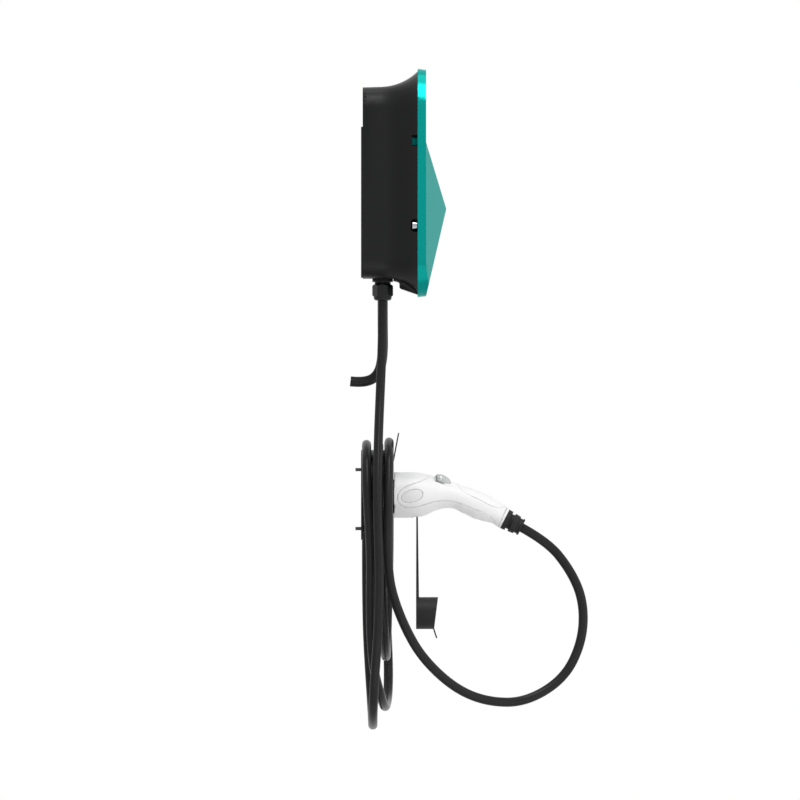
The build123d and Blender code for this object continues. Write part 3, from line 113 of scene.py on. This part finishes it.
def put_in_scene(name: str, data: bpy.types.ID) -> bpy.types.Object:
    """Make an object from its data and put it in the scene.

    Args:
        name: The object's name.
        data: The mesh, curve, lamp or camera that it shows.

    Returns:
        The object, at the origin.
    """
    thing = bpy.data.objects.new(name, data)
    bpy.context.scene.collection.objects.link(thing)
    return thing


class Grain(Enum):
    """How a surface was made, which sets its fine relief."""

    ERODED = "moulded in a spark-eroded tool"
    POLISHED = "smooth, from a polished tool, a buffing wheel or a coating"
    EXTRUDED = "extruded"
    RUBBER = "moulded rubber"
    POWDER = "powder coated"
    TURNED = "turned"
    PLATED = "zinc plated"


@dataclass(frozen=True)
class Finish:
    """One material: what it is made of, how it was made, and what that gives the eye.

    Args:
        name: The material's and process's common name.
        colour: Main colour, sRGB hex.
        tint: The colour it drifts towards, sRGB hex.
        edge_wear_and_shade: The colour of its rubbed edges, or of painted shade along its seams and edges,
            sRGB hex.
        roughness: Middle roughness of the surface.
        grain: How the surface was made.
        grain_mm: Size of its fine grain, drawn coarser than life where the real one is too fine to show.
        relief_mm: Height of that grain.
        drift_mm: Size of the slow drift in colour and gloss.
        edge_mm: Radius of its broken edges.
        edge_wear_and_shade_strength: How strongly that colour shows along its edges: 0 for not at all, over
            1 for a full line.
        ior: Refractive index; a metal keeps the default.
        metallic: 1 for bare metal, less for a plastic with flake pigment.
        level: Strength of its mirror reflection, 0.5 for the index's own.
        glint: Colour of its mirror reflection, sRGB hex; flake pigment tints it.
        painted_shade_behind_mm: Nearer to the wall than this, the piece lies in the housing's shade, painted
            into its colour; 0 for none.
    """

    name: str
    colour: str
    tint: str
    edge_wear_and_shade: str
    roughness: float
    grain: Grain
    grain_mm: float
    relief_mm: float
    drift_mm: float = 60.0
    edge_mm: float = 0.5
    edge_wear_and_shade_strength: float = 0.3
    ior: float = 1.5
    metallic: float = 0.0
    level: float = 0.5
    glint: str = "#ffffff"
    painted_shade_behind_mm: float = 0.0

    def height(self, tree: bpy.types.NodeTree, place: bpy.types.NodeSocket) -> bpy.types.NodeSocket:
        """Make the fine relief of the way the surface was made.

        Args:
            tree: The material's node tree.
            place: The point on the surface, in metres.

        Returns:
            A socket with the height, from 0 to 1.
        """
        scale = 1.0 / (self.grain_mm * MM)
        if self.grain is Grain.TURNED:
            # wide rings round the wall box's Y axis, which cross a small turned part as parallel lathe marks
            rings = add_node(tree, "TexWave", {"Vector": place}, wave_type="RINGS", rings_direction="Y",
                             Scale=scale / WAVE_RADIANS, Distortion=0.6, Detail=2.0)
            return rings.outputs["Fac"]
        if self.grain is Grain.PLATED:
            spangle = add_node(tree, "TexVoronoi", {"Vector": place}, Scale=scale)
            return spangle.outputs["Distance"]
        if self.grain is Grain.RUBBER:
            pebble = add_node(tree, "TexVoronoi", {"Vector": place}, feature="SMOOTH_F1", Scale=scale,
                              Smoothness=0.7)
            return pebble.outputs["Distance"]
        detail = {Grain.ERODED: 3.0, Grain.POWDER: 1.0, Grain.EXTRUDED: 2.0, Grain.POLISHED: 1.0}[self.grain]
        pits = add_node(tree, "TexNoise", {"Vector": place}, Scale=scale, Detail=detail, Roughness=0.55)
        return pits.outputs["Fac"]

    def material(self) -> bpy.types.Material:
        """Build the node tree, or return the one that was built before.

        Returns:
            The Blender material.
        """
        known = bpy.data.materials.get(self.name)
        if known:
            return known
        material = bpy.data.materials.new(self.name)
        material.use_nodes = True
        tree = material.node_tree
        tree.nodes.clear()
        place = add_node(tree, "TexCoord").outputs["Object"]
        drift = add_node(tree, "TexNoise", {"Vector": place}, Scale=1 / (self.drift_mm * MM), Detail=3.0)
        body = add_node(tree, "Mix", {"Factor": drift.outputs["Fac"]}, data_type="RGBA")
        body.inputs[6].default_value = linear(self.colour)
        body.inputs[7].default_value = linear(self.tint)
        # the broken edge of a moulding or a bent sheet: its bevel catches the light; its colour is rubbed
        # lighter on some finishes, and is painted shade along the plug's seams and the cover's edges
        edge = add_node(tree, "Bevel", samples=4, Radius=self.edge_mm * MM)
        facing = add_node(tree, "NewGeometry").outputs["Normal"]
        flat = add_node(tree, "VectorMath", {0: edge.outputs["Normal"], 1: facing}, operation="DOT_PRODUCT")
        edge_wear_and_shade_mask = add_node(tree, "MapRange", {"Value": flat.outputs["Value"]}, From_Min=EDGE_STARTS,
                       From_Max=EDGE_FULL, To_Min=0.0, To_Max=self.edge_wear_and_shade_strength)
        patch = add_node(tree, "Math", {0: edge_wear_and_shade_mask.outputs["Result"], 1: drift.outputs["Fac"]},
                         operation="MULTIPLY")
        # edge colour: rubbed on some finishes, painted shade along the seams and edges of the plug and the
        # cover
        edge_wear_and_shade = add_node(tree, "Mix", {"Factor": patch.outputs["Value"], 6: body.outputs[2]},
                        data_type="RGBA")
        edge_wear_and_shade.inputs[7].default_value = linear(self.edge_wear_and_shade)
        skin = edge_wear_and_shade.outputs[2]
        # painted shade: nearer to the wall than the housing's rim, the colour is darkened as if in the
        # housing's shade
        if self.painted_shade_behind_mm:
            depth = add_node(tree, "SeparateXYZ", {"Vector": place}).outputs["Y"]
            rim = -self.painted_shade_behind_mm * MM
            half = SHADE_EDGE_MM / 2 * MM
            shade = add_node(tree, "MapRange", {"Value": depth}, From_Min=rim - half, From_Max=rim + half,
                             To_Min=1.0, To_Max=SHADE_SHARE)
            skin = add_node(tree, "VectorMath", {0: skin, 3: shade.outputs["Result"]},
                            operation="SCALE").outputs[0]
        fine = self.height(tree, place)
        gloss = add_node(tree, "MapRange", {"Value": drift.outputs["Fac"]}, From_Min=DRIFT_LOW,
                         From_Max=DRIFT_HIGH, To_Min=self.roughness * (1.0 - GLOSS_SPREAD),
                         To_Max=min(1.0, self.roughness * (1.0 + GLOSS_SPREAD)))
        relief = add_node(tree, "Bump", {"Height": fine, "Normal": edge.outputs["Normal"]}, Strength=1.0,
                          Distance=self.relief_mm * MM)
        shader = add_node(tree, "BsdfPrincipled",
                          {"Base Color": skin, "Roughness": gloss.outputs["Result"],
                           "Normal": relief.outputs["Normal"]},
                          Metallic=self.metallic, IOR=self.ior, Specular_IOR_Level=self.level,
                          Specular_Tint=linear(self.glint))
        add_node(tree, "OutputMaterial", {"Surface": shader.outputs["BSDF"]})
        return material


# Glass-filled polyamide, moulded in a spark-eroded tool: deep black, satin, its edges a touch greyer.
HOUSING_BLACK = Finish("glass_filled_polyamide_black", "#0a0b0c", "#0d0e0f", "#2a2b2c", 0.34, Grain.ERODED,
                       0.9, 0.012, level=0.18)
# Polycarbonate with mica flakes, moulded in a polished tool: the flakes keep its highlights bright and cyan,
# and its edges are a little darker with painted shade; its hooks behind the housing's rim are darkened by
# painted shade.
COVER_TEAL = Finish("mica_filled_polycarbonate_teal", "#0b8f88", "#0a8a83", "#067f79", 0.19, Grain.POLISHED,
                    14.0, 0.01, drift_mm=120.0, edge_mm=0.8, edge_wear_and_shade_strength=0.9, ior=1.58, metallic=0.35, level=0.04,
                    glint="#7cfff8", painted_shade_behind_mm=84.6)
# EPDM rubber cord: dull black, faintly pebbled.
SEAL_RUBBER = Finish("epdm_seal_rubber", "#161616", "#1e1d1d", "#2a2a2a", 0.75, Grain.RUBBER, 0.8, 0.03,
                     level=0.3)
# Stainless steel, turned and tumbled: bright, with faint lathe marks.
BRIGHT_SCREW = Finish("turned_stainless_steel", "#9a9ca0", "#8c8e92", "#c9cacc", 0.16, Grain.TURNED,
                      0.5, 0.01, drift_mm=8.0, edge_mm=0.25, metallic=1.0)
# Steel strip, zinc plated and cleared: grey with a faint spangle.
ZINC_STEEL = Finish("zinc_plated_steel_strip", "#b4b8bb", "#a2a7aa", "#d0d4d6", 0.34, Grain.PLATED,
                    2.5, 0.01, drift_mm=20.0, edge_mm=0.3, metallic=1.0)
# Steel screw, black oxide: nearly black, oily gloss, rubbed grey on its corners.
BLACK_SCREW = Finish("black_oxide_steel", "#1b1b1d", "#242427", "#77797c", 0.36, Grain.TURNED,
                     0.5, 0.01, drift_mm=6.0, edge_mm=0.2, edge_wear_and_shade_strength=0.5)
# Sheet steel, powder coated black: a soft orange-peel surface.
BRACKET_BLACK = Finish("powder_coated_sheet_steel", "#17181a", "#1f2022", "#45474a", 0.5, Grain.POWDER,
                       1.6, 0.03, edge_mm=0.6)
# Polyamide rail modules: light grey, matt.
MODULE_GREY = Finish("polyamide_module_grey", "#c9cccb", "#bfc3c2", "#dfe1e0", 0.55, Grain.ERODED,
                     0.7, 0.015)
# Glass-fibre board with solder mask: dark green, glossy, slightly uneven where the weave lies below it.
BOARD_GREEN = Finish("solder_mask_on_glass_fibre", "#1d5a38", "#1a4f32", "#8f8f62", 0.3, Grain.POLISHED,
                     1.2, 0.01, drift_mm=15.0, edge_mm=0.15)
# Moulded epoxy packages of the board's parts: charcoal, matt.
PART_DARK = Finish("moulded_epoxy_package", "#202123", "#2a2b2d", "#505254", 0.6, Grain.ERODED, 0.5, 0.01,
                   edge_mm=0.2)
# Polyamide 6 cable glands: black with an oily half gloss.
GLAND_NYLON = Finish("polyamide_6_black", "#101112", "#151617", "#303133", 0.34, Grain.POLISHED, 5.0, 0.02,
                     edge_mm=0.5, level=0.22)
# Silver-plated copper contacts: warm, bright, slightly tarnished in patches.
CONTACT_METAL = Finish("silver_plated_copper", "#d8d2c4", "#b9a98a", "#f0ece2", 0.25, Grain.TURNED,
                       0.4, 0.008, drift_mm=5.0, edge_mm=0.2, metallic=1.0)
# Polycarbonate and ABS blend of the plug: clean white, satin; its seams and edges carry a thin grey line of
# painted shade.
PLUG_WHITE = Finish("polycarbonate_abs_white", "#ededed", "#e9e9e9", "#585858", 0.36, Grain.ERODED,
                    0.8, 0.006, edge_mm=0.6, edge_wear_and_shade_strength=1.5, ior=1.55, level=0.3)
# Acetal rod of the button's pin, turned and buffed: clean white, with no painted shade on its smooth ends.
PIN_WHITE = Finish("turned_acetal_white", "#fdfdfd", "#fafafa", "#ffffff", 0.4, Grain.POLISHED, 5.0, 0.004,
                   drift_mm=8.0, edge_mm=0.2, ior=1.48, level=0.4)
# Soft inlay of the plug's side, moulded in a second shot: a touch greyer and duller; its seams and edges
# carry the same thin grey line of painted shade.
INLAY_WHITE = Finish("second_shot_inlay_white", "#e6e6e6", "#e1e1e1", "#585858", 0.5, Grain.ERODED,
                     0.7, 0.012, edge_mm=0.6, edge_wear_and_shade_strength=1.5, level=0.3)
# ABS button: light grey, satin, rubbed lighter on its crown.
BUTTON_GREY = Finish("abs_button_grey", "#c4c5c6", "#bcbdbe", "#e2e3e4", 0.42, Grain.ERODED, 0.6, 0.01,
                     edge_mm=0.5, edge_wear_and_shade_strength=0.5)
# Thermoplastic rubber of cap and strain relief: black, dull, soft edged.
CAP_RUBBER = Finish("thermoplastic_rubber_black", "#191919", "#1f1f1f", "#323232", 0.55, Grain.RUBBER,
                    0.9, 0.02, edge_mm=0.7, level=0.22)
# Polyurethane cable jacket, extruded: black, half gloss, very slightly uneven along its length.
JACKET = Finish("extruded_polyurethane_jacket", "#212121", "#272727", "#2c2c2c", 0.28, Grain.EXTRUDED,
                1.2, 0.004, drift_mm=40.0, edge_mm=0.5, edge_wear_and_shade_strength=0.0, level=0.1)


@dataclass(frozen=True)
class SoftBox:
    """One soft box of the studio, with lengths in metres.

    Args:
        name: The lamp's name.
        place: Where it hangs.
        aim: The point it faces.
        width: Its width.
        height: Its height.
        watts: Its power.
    """

    name: str
    place: Point
    aim: Point
    width: float
    height: float
    watts: float


# The high lamp lights the top of the cover and the housing's shoulder; the others only fill in.
LAMPS: tuple[SoftBox, ...] = (
    SoftBox("high_side_soft_box", (-1.1, -0.38, 1.6), (0.0, -0.08, 0.1), 0.7, 1.5, 31.0),
    SoftBox("overhead_soft_box", (0.1, -0.3, 1.5), (0.0, -0.1, 0.0), 0.9, 0.6, 4.0),
    SoftBox("low_bounce", (-0.55, -0.3, -1.2), (-0.1, -0.1, -0.2), 1.6, 2.0, 10.0),
    SoftBox("front_soft_box", (-0.9, -2.2, 0.1), (0.0, -0.1, -0.3), 1.4, 1.8, 11.0),
    SoftBox("side_fill", (-2.6, 0.2, -0.2), (0.0, -0.1, -0.4), 1.6, 2.2, 3.5),
)


@dataclass
class Studio:
    """The camera at the photograph's side view, soft lamps, a pale floor and the white room.

    Args:
        target: The middle of the view.
        distance: From the camera to that point.
        view_width: How much the picture shows there from side to side.
        sensor_mm: The camera's sensor width.
        clip_end: How far the camera sees.
        floor_level: Height of the floor.
        floor_half: Half the side of the floor.
        floor_white: How much of the white room the floor shows, where it is seen.
        room_strength: How strongly the room lights the object.
    """

    target: Point = (0.0, -0.0584, -0.2964)
    distance: float = 40.0
    view_width: float = 1.2
    sensor_mm: float = 36.0
    clip_end: float = 100.0
    floor_level: float = -1.25
    floor_half: float = 12.0
    floor_white: float = 0.88
    room_strength: float = 0.36

    def camera(self) -> bpy.types.Object:
        """Place a long lens on the box's left side, level with the middle of the view.

        Returns:
            The camera.
        """
        data = bpy.data.cameras.new("side_view")
        data.sensor_width = self.sensor_mm
        data.lens = self.sensor_mm * self.distance / self.view_width
        data.clip_end = self.clip_end
        camera = put_in_scene("side_view", data)
        x, y, z = self.target
        camera.location = (x - self.distance, y, z)
        camera.rotation_euler = (math.radians(90.0), 0.0, math.radians(-90.0))
        bpy.context.scene.camera = camera
        return camera

    def hang(self, box: SoftBox) -> bpy.types.Object:
        """Hang one soft box, tilted and then turned so that it faces its aim.

        Args:
            box: Its place, aim, size and power.

        Returns:
            The lamp.
        """
        data = bpy.data.lights.new(box.name, "AREA")
        data.shape = "RECTANGLE"
        data.size = box.width
        data.size_y = box.height
        data.energy = box.watts
        lamp = put_in_scene(box.name, data)
        lamp.location = box.place
        away = np.subtract(box.place, box.aim)
        flat = float(np.hypot(away[0], away[1]))
        lamp.rotation_euler = (math.atan2(flat, away[2]), 0.0, math.atan2(away[0], -away[1]))
        return lamp

    def seen(self, tree: bpy.types.NodeTree) -> bpy.types.NodeSocket:
        """Tell rays that show the background, also in gloss and glass, from rays that light the object.

        Args:
            tree: The node tree of the floor or the world.

        Returns:
            A socket that is 1 for a ray that shows the background.
        """
        path = add_node(tree, "LightPath")
        straight = add_node(tree, "Math",
                            {0: path.outputs["Is Camera Ray"], 1: path.outputs["Is Glossy Ray"]},
                            operation="MAXIMUM")
        return add_node(tree, "Math", {0: straight.outputs[0], 1: path.outputs["Is Transmission Ray"]},
                        operation="MAXIMUM").outputs[0]

    def room(self) -> None:
        """Make the world white where it is seen and an even grey where it lights."""
        world = bpy.data.worlds.new("white_room")
        bpy.context.scene.world = world
        world.use_nodes = True
        tree = world.node_tree
        tree.nodes.clear()
        shown = add_node(tree, "Background", Color=linear("#ffffff"), Strength=1.0)
        light = add_node(tree, "Background", Color=linear("#ffffff"), Strength=self.room_strength)
        both = add_node(tree, "MixShader", {0: self.seen(tree), 1: light.outputs[0], 2: shown.outputs[0]})
        add_node(tree, "OutputWorld", {"Surface": both.outputs[0]})

    def floor(self) -> bpy.types.Object:
        """Lay a pale floor below the hanging cable: a square sheet on a 2 by 2 grid of corners.

        Returns:
            The floor.
        """
        reach = np.array([-self.floor_half, self.floor_half])
        x, y = np.meshgrid(reach, reach)
        corners = np.stack([x, y, np.full_like(x, self.floor_level)], axis=-1).reshape(-1, 3)
        mesh = bpy.data.meshes.new("pale_floor")
        mesh.from_pydata(corners.tolist(), [], [(0, 1, 3, 2)])
        floor = put_in_scene("pale_floor", mesh)
        material = bpy.data.materials.new("pale_studio_floor")
        material.use_nodes = True
        tree = material.node_tree
        tree.nodes.clear()
        matt = add_node(tree, "BsdfDiffuse", Color=linear("#e6e6e6"))
        white = add_node(tree, "Emission", Color=linear("#ffffff"), Strength=1.0)
        most = add_node(tree, "Math", {0: self.seen(tree)}, operation="MULTIPLY")
        most.inputs[1].default_value = self.floor_white
        both = add_node(tree, "MixShader", {0: most.outputs[0], 1: matt.outputs[0], 2: white.outputs[0]})
        add_node(tree, "OutputMaterial", {"Surface": both.outputs[0]})
        mesh.materials.append(material)
        return floor

    def build(self) -> None:
        """Set the view, the room, the floor and the lamps."""
        self.camera()
        self.room()
        self.floor()
        for box in LAMPS:
            self.hang(box)
        bpy.context.scene.view_settings.view_transform = "Standard"


@dataclass
class Assembly:
    """A group of pieces that are built and dressed together."""

    def body_of(self, node: str) -> str:
        """Name the CAD body that a node rides on."""
        bodies = frame["record"]["behaviour"]["bodies"]
        return next(body for body, nodes in bodies.items() if node in nodes)

    def smooth(self, node: str, finish: Finish, angle: float = CRISP_ANGLE) -> bpy.types.Object:
        """Stand a welded, smooth-shaded copy of a CAD node in its place.

        Args:
            node: The CAD node.
            finish: Its material.
            angle: Edges sharper than this many degrees stay crisp.

        Returns:
            The copy, which replaces the node.
        """
        mesh = frame["nodes"][node].data.copy()
        work = bmesh.new()
        work.from_mesh(mesh)
        bmesh.ops.remove_doubles(work, verts=work.verts, dist=WELD)
        work.to_mesh(mesh)
        work.free()
        mesh.shade_smooth()
        mesh.set_sharp_from_angle(angle=math.radians(angle))
        piece = put_in_scene(node + ".finished", mesh)
        even = piece.modifiers.new("flat faces stay flat", "WEIGHTED_NORMAL")
        even.keep_sharp = True
        self.settle(piece, node, finish)
        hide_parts(node)
        return piece

    def settle(self, piece: bpy.types.Object, node: str, finish: Finish) -> None:
        """Give a piece its finish and let it ride with a CAD node.

        Args:
            piece: The piece.
            node: The CAD node that it stands for or sits on.
            finish: Its material.
        """
        piece.data.materials.clear()
        piece.data.materials.append(finish.material())
        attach(piece, self.body_of(node))
        log.info("%s: %s, on %s", piece.name, finish.name, self.body_of(node))


@dataclass
class Cable(Assembly):
    """A round flexible cable on one smooth spline.

    Args:
        name: The cable's name.
        diameter: Over its jacket, in metres.
        route: The points that it is drawn along, in millimetres.
        length: Its stated length, in metres; not used.
    """

    name: str
    diameter: float
    route: list[Point]
    length: float

    def build(self) -> bpy.types.Object:
        """Draw the cable as one spline of order 3 that its points pull on, with a round jacket about it.

        Returns:
            The cable's curve.
        """
        curve = bpy.data.curves.new(self.name, "CURVE")
        curve.dimensions = "3D"
        curve.resolution_u = ROUTE_STEPS
        curve.bevel_depth = self.diameter / 2
        curve.bevel_resolution = JACKET_STEPS
        curve.use_fill_caps = True
        spline = curve.splines.new("NURBS")
        spline.points.add(len(self.route) - 1)
        places = np.hstack([np.array(self.route) * MM, np.ones((len(self.route), 1))])
        spline.points.foreach_set("co", places.astype(np.float32).ravel())
        spline.order_u = 3
        spline.use_endpoint_u = True
        return put_in_scene(self.name, curve)


# The charging cable leaves its gland, hangs in three loose turns over the holder's drum and rises to the
# plug. Every route is in millimetres.
FROM_GLAND: list[Point] = [
    (-30, -32.4, -136), (-30, -32.4, -200), (-40, -29.2, -275), (-68, -26.2, -345), (-98, -24.6, -412),
    (-117, -24.8, -470),
]
OUTER_TURN: list[Point] = [
    (-133, -27, -530), (-147, -27.8, -590), (-151, -25.2, -650), (-143, -20.6, -712), (-110, -17.9, -763),
    (-45, -17.8, -783.8), (45, -17.6, -783.8), (110, -16.5, -763), (143, -13, -712), (150, -9.4, -650),
    (145, -8.3, -590), (127, -8, -530), (104, -8.2, -475), (90, -8.2, -425), (68, -8.3, -381),
    (24, -8.3, -363), (-24, -8.3, -363), (-68, -8.3, -381), (-90, -8.6, -425),
]
MIDDLE_TURN: list[Point] = [
    (-101, -12.4, -480), (-117, -14.9, -535), (-129, -14.3, -590), (-131, -14.7, -645), (-124, -19, -700),
    (-96, -29, -738), (-42, -35, -756), (40, -37.5, -756), (96, -40.5, -740), (126, -41.2, -698),
    (133, -39, -645), (129, -35.6, -590), (118, -32, -535), (103, -29, -480), (90, -27.6, -425),
    (68, -26.6, -383), (24, -26.5, -364.5), (-24, -26.5, -364.5), (-68, -26.5, -383), (-88, -26.6, -425),
]
INNER_TURN: list[Point] = [
    (-96, -27.5, -475), (-106, -29.5, -525), (-111, -31.5, -575), (-106, -33.5, -622), (-83, -35.6, -660),
    (-35, -37, -681), (35, -37.4, -681), (83, -38.5, -660), (106, -39.5, -622), (107, -41, -575),
    (100, -41.8, -525), (91, -42, -475), (86, -42, -425), (67, -42, -379), (24, -42, -359.5),
    (-24, -42, -359.5), (-68, -42, -379), (-91, -41.3, -425), (-106, -40.4, -475), (-117, -40, -512),
]
TO_PLUG: list[Point] = [
    (-122, -40.5, -545), (-124, -46, -585), (-122, -66, -638), (-112, -93, -684), (-95, -140, -728),
    (-74, -189, -748.5), (-52, -246.5, -749.5), (-33, -305, -714), (-18, -332, -657.5), (-8, -334, -600),
    (-2.5, -315.5, -553.5), (0, -277.9, -506.4), (0, -228.5, -481.2),
]
SUPPLY: list[Point] = [
    (30, -32.4, -136), (30, -32.4, -185), (30, -33, -228), (30, -27, -258), (30, -7, -271),
    (30, 16.1, -268.4),
]


@dataclass
class ChargingCable(Cable):
    """The charging cable from its gland to the plug, in one piece."""

    name: str = "charging_cable"
    diameter: float = 0.014
    route: list[Point] = field(
        default_factory=lambda: FROM_GLAND + OUTER_TURN + MIDDLE_TURN + INNER_TURN + TO_PLUG
    )
    length: float = 4.27

    def dress(self, on_it: list[bpy.types.Object]) -> None:
        """Args:
            on_it: The plug's pieces; not used.
        """
        cable = bpy.data.objects[self.name]
        self.settle(cable, "charging_cable_upper", JACKET)
        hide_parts("charging_cable_upper", "charging_cable_coil", "charging_cable_loop")


@dataclass
class SupplyCable(Cable):
    """The supply cable's stub from its gland back to the wall."""

    name: str = "supply_lead"
    diameter: float = 0.0156
    route: list[Point] = field(default_factory=lambda: SUPPLY)
    length: float = 0.168

    def dress(self) -> None:
        cable = bpy.data.objects[self.name]
        self.settle(cable, "supply_cable", JACKET)
        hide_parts("supply_cable")


@dataclass
class Enclosure(Assembly):
    """The wall bracket, rear housing, seal, front cover and their screws.

    Args:
        parts: Each node and its finish.
        cover_crisp: The cover's facets meet at low angles, so edges sharper than this stay crisp there.
    """

    parts: tuple[tuple[str, Finish], ...] = (
        ("wall_bracket", BRACKET_BLACK), ("rear_housing", HOUSING_BLACK), ("cover_seal", SEAL_RUBBER),
        ("front_cover", COVER_TEAL), ("cover_screws", BRIGHT_SCREW),
    )
    cover_crisp: float = 11.0

    def build(self) -> None:
        """Finish the shell's pieces."""
        for node, finish in self.parts:
            self.smooth(node, finish, self.cover_crisp if node == "front_cover" else CRISP_ANGLE)


@dataclass
class Electrics(Assembly):
    """The mounting rail, its modules, and the control board with its parts.

    Args:
        parts: Each node and its finish.
    """

    parts: tuple[tuple[str, Finish], ...] = (
        ("din_rail", ZINC_STEEL), ("rail_screws", BRIGHT_SCREW), ("power_contactor", MODULE_GREY),
        ("fault_sensor", MODULE_GREY), ("terminal_block", MODULE_GREY), ("control_board", BOARD_GREEN),
        ("control_board_parts", PART_DARK), ("board_screws", BRIGHT_SCREW),
    )

    def build(self) -> None:
        """Finish the inner pieces."""
        for node, finish in self.parts:
            self.smooth(node, finish)


@dataclass
class Glands(Assembly):
    """The two cable glands under the box, with their nuts and seals.

    Args:
        parts: Each node and its finish.
    """

    parts: tuple[tuple[str, Finish], ...] = (
        ("charging_gland_body", GLAND_NYLON), ("charging_gland_nut", GLAND_NYLON),
        ("supply_gland_body", GLAND_NYLON), ("supply_gland_nut", GLAND_NYLON),
        ("gland_locknuts", GLAND_NYLON), ("gland_seals", SEAL_RUBBER),
    )

    def build(self) -> None:
        """Finish the glands' pieces."""
        for node, finish in self.parts:
            self.smooth(node, finish)


@dataclass
class Holder(Assembly):
    """The plug holder on the wall and its screws.

    Args:
        parts: Each node and its finish.
    """

    parts: tuple[tuple[str, Finish], ...] = (("plug_holder", HOUSING_BLACK), ("holder_screws", BLACK_SCREW))

    def build(self) -> None:
        """Finish the holder and its screws."""
        for node, finish in self.parts:
            self.smooth(node, finish)


@dataclass
class Plug(Assembly):
    """The charging plug: shells, inlays, button, contacts, strain relief and dust cap.

    Args:
        parts: Each node and its finish.
        crisp: Edges sharper than this many degrees stay crisp on the plug.
        grip_start: Where the row of finger grips starts under the handle, in millimetres.
        grip_end: Where it ends.
        grip_pitch: From one grip to the next, in millimetres.
        grip_depth: How deep each grip is pressed, in millimetres.
    """

    parts: tuple[tuple[str, Finish], ...] = (
        ("plug_nose", HOUSING_BLACK), ("plug_insert", HOUSING_BLACK), ("plug_contacts", CONTACT_METAL),
        ("plug_front_shell", PLUG_WHITE), ("plug_handle_shell", PLUG_WHITE), ("plug_top_strip", PLUG_WHITE),
        ("plug_end_collar", PLUG_WHITE), ("side_inlay_left", INLAY_WHITE), ("side_inlay_right", INLAY_WHITE),
        ("plug_button", BUTTON_GREY), ("button_pin", PIN_WHITE), ("strain_relief", CAP_RUBBER),
        ("strap_pin", ZINC_STEEL), ("dust_cap", CAP_RUBBER),
    )
    crisp: float = 38.0
    grip_start: Point = (0.0, -130.0, -457.0)
    grip_end: Point = (0.0, -212.0, -492.0)
    grip_pitch: float = 21.0
    grip_depth: float = 0.7

    def grips(self, piece: bpy.types.Object) -> None:
        """Press shallow finger grips into the underside of the handle.

        Each point moves towards the handle's axis by a raised cosine of its distance along the row of grips,
        faded in and out over half a pitch at the row's ends, times the square of how squarely it faces down.

        Args:
            piece: The shell that carries the grips.
        """
        mesh = piece.data
        places = np.empty(len(mesh.vertices) * 3)
        facing = np.empty(len(mesh.vertices) * 3)
        mesh.vertices.foreach_get("co", places)
        mesh.vertices.foreach_get("normal", facing)
        places, facing = places.reshape(-1, 3), facing.reshape(-1, 3)
        start, end = np.array(self.grip_start) * MM, np.array(self.grip_end) * MM
        run = np.linalg.norm(end - start)
        ahead = (end - start) / run
        down = np.array([0.0, ahead[2], -ahead[1]])
        down *= -np.sign(down[2])
        along = (places - start) @ ahead
        fade = np.clip(np.minimum(along, run - along) / (self.grip_pitch * MM / 2), 0.0, 1.0)
        wave = (1.0 - np.cos(2 * np.pi * along / (self.grip_pitch * MM))) / 2
        squarely = np.clip(facing @ down, 0.0, 1.0) ** 2
        places -= (wave * fade * squarely * self.grip_depth * MM)[:, None] * down
        mesh.vertices.foreach_set("co", places.ravel())
        mesh.update()

    def build(self) -> list[bpy.types.Object]:
        """Finish the plug's pieces.

        Returns:
            The pieces that hang on the cable.
        """
        pieces = [self.smooth(node, finish, self.crisp) for node, finish in self.parts]
        self.grips(next(piece for piece in pieces if piece.name.startswith("plug_front_shell")))
        return pieces


def main() -> None:
    """Build and dress the sub-assemblies in order."""
    logging.basicConfig(level=logging.INFO, format="%(name)s %(message)s")
    Studio().build()
    charging, supply = ChargingCable(), SupplyCable()
    charging.build()
    supply.build()
    Enclosure().build()
    Electrics().build()
    Glands().build()
    Holder().build()
    on_cable = Plug().build()
    charging.dress(on_cable)
    supply.dress()


if __name__ == "__main__":
    main()
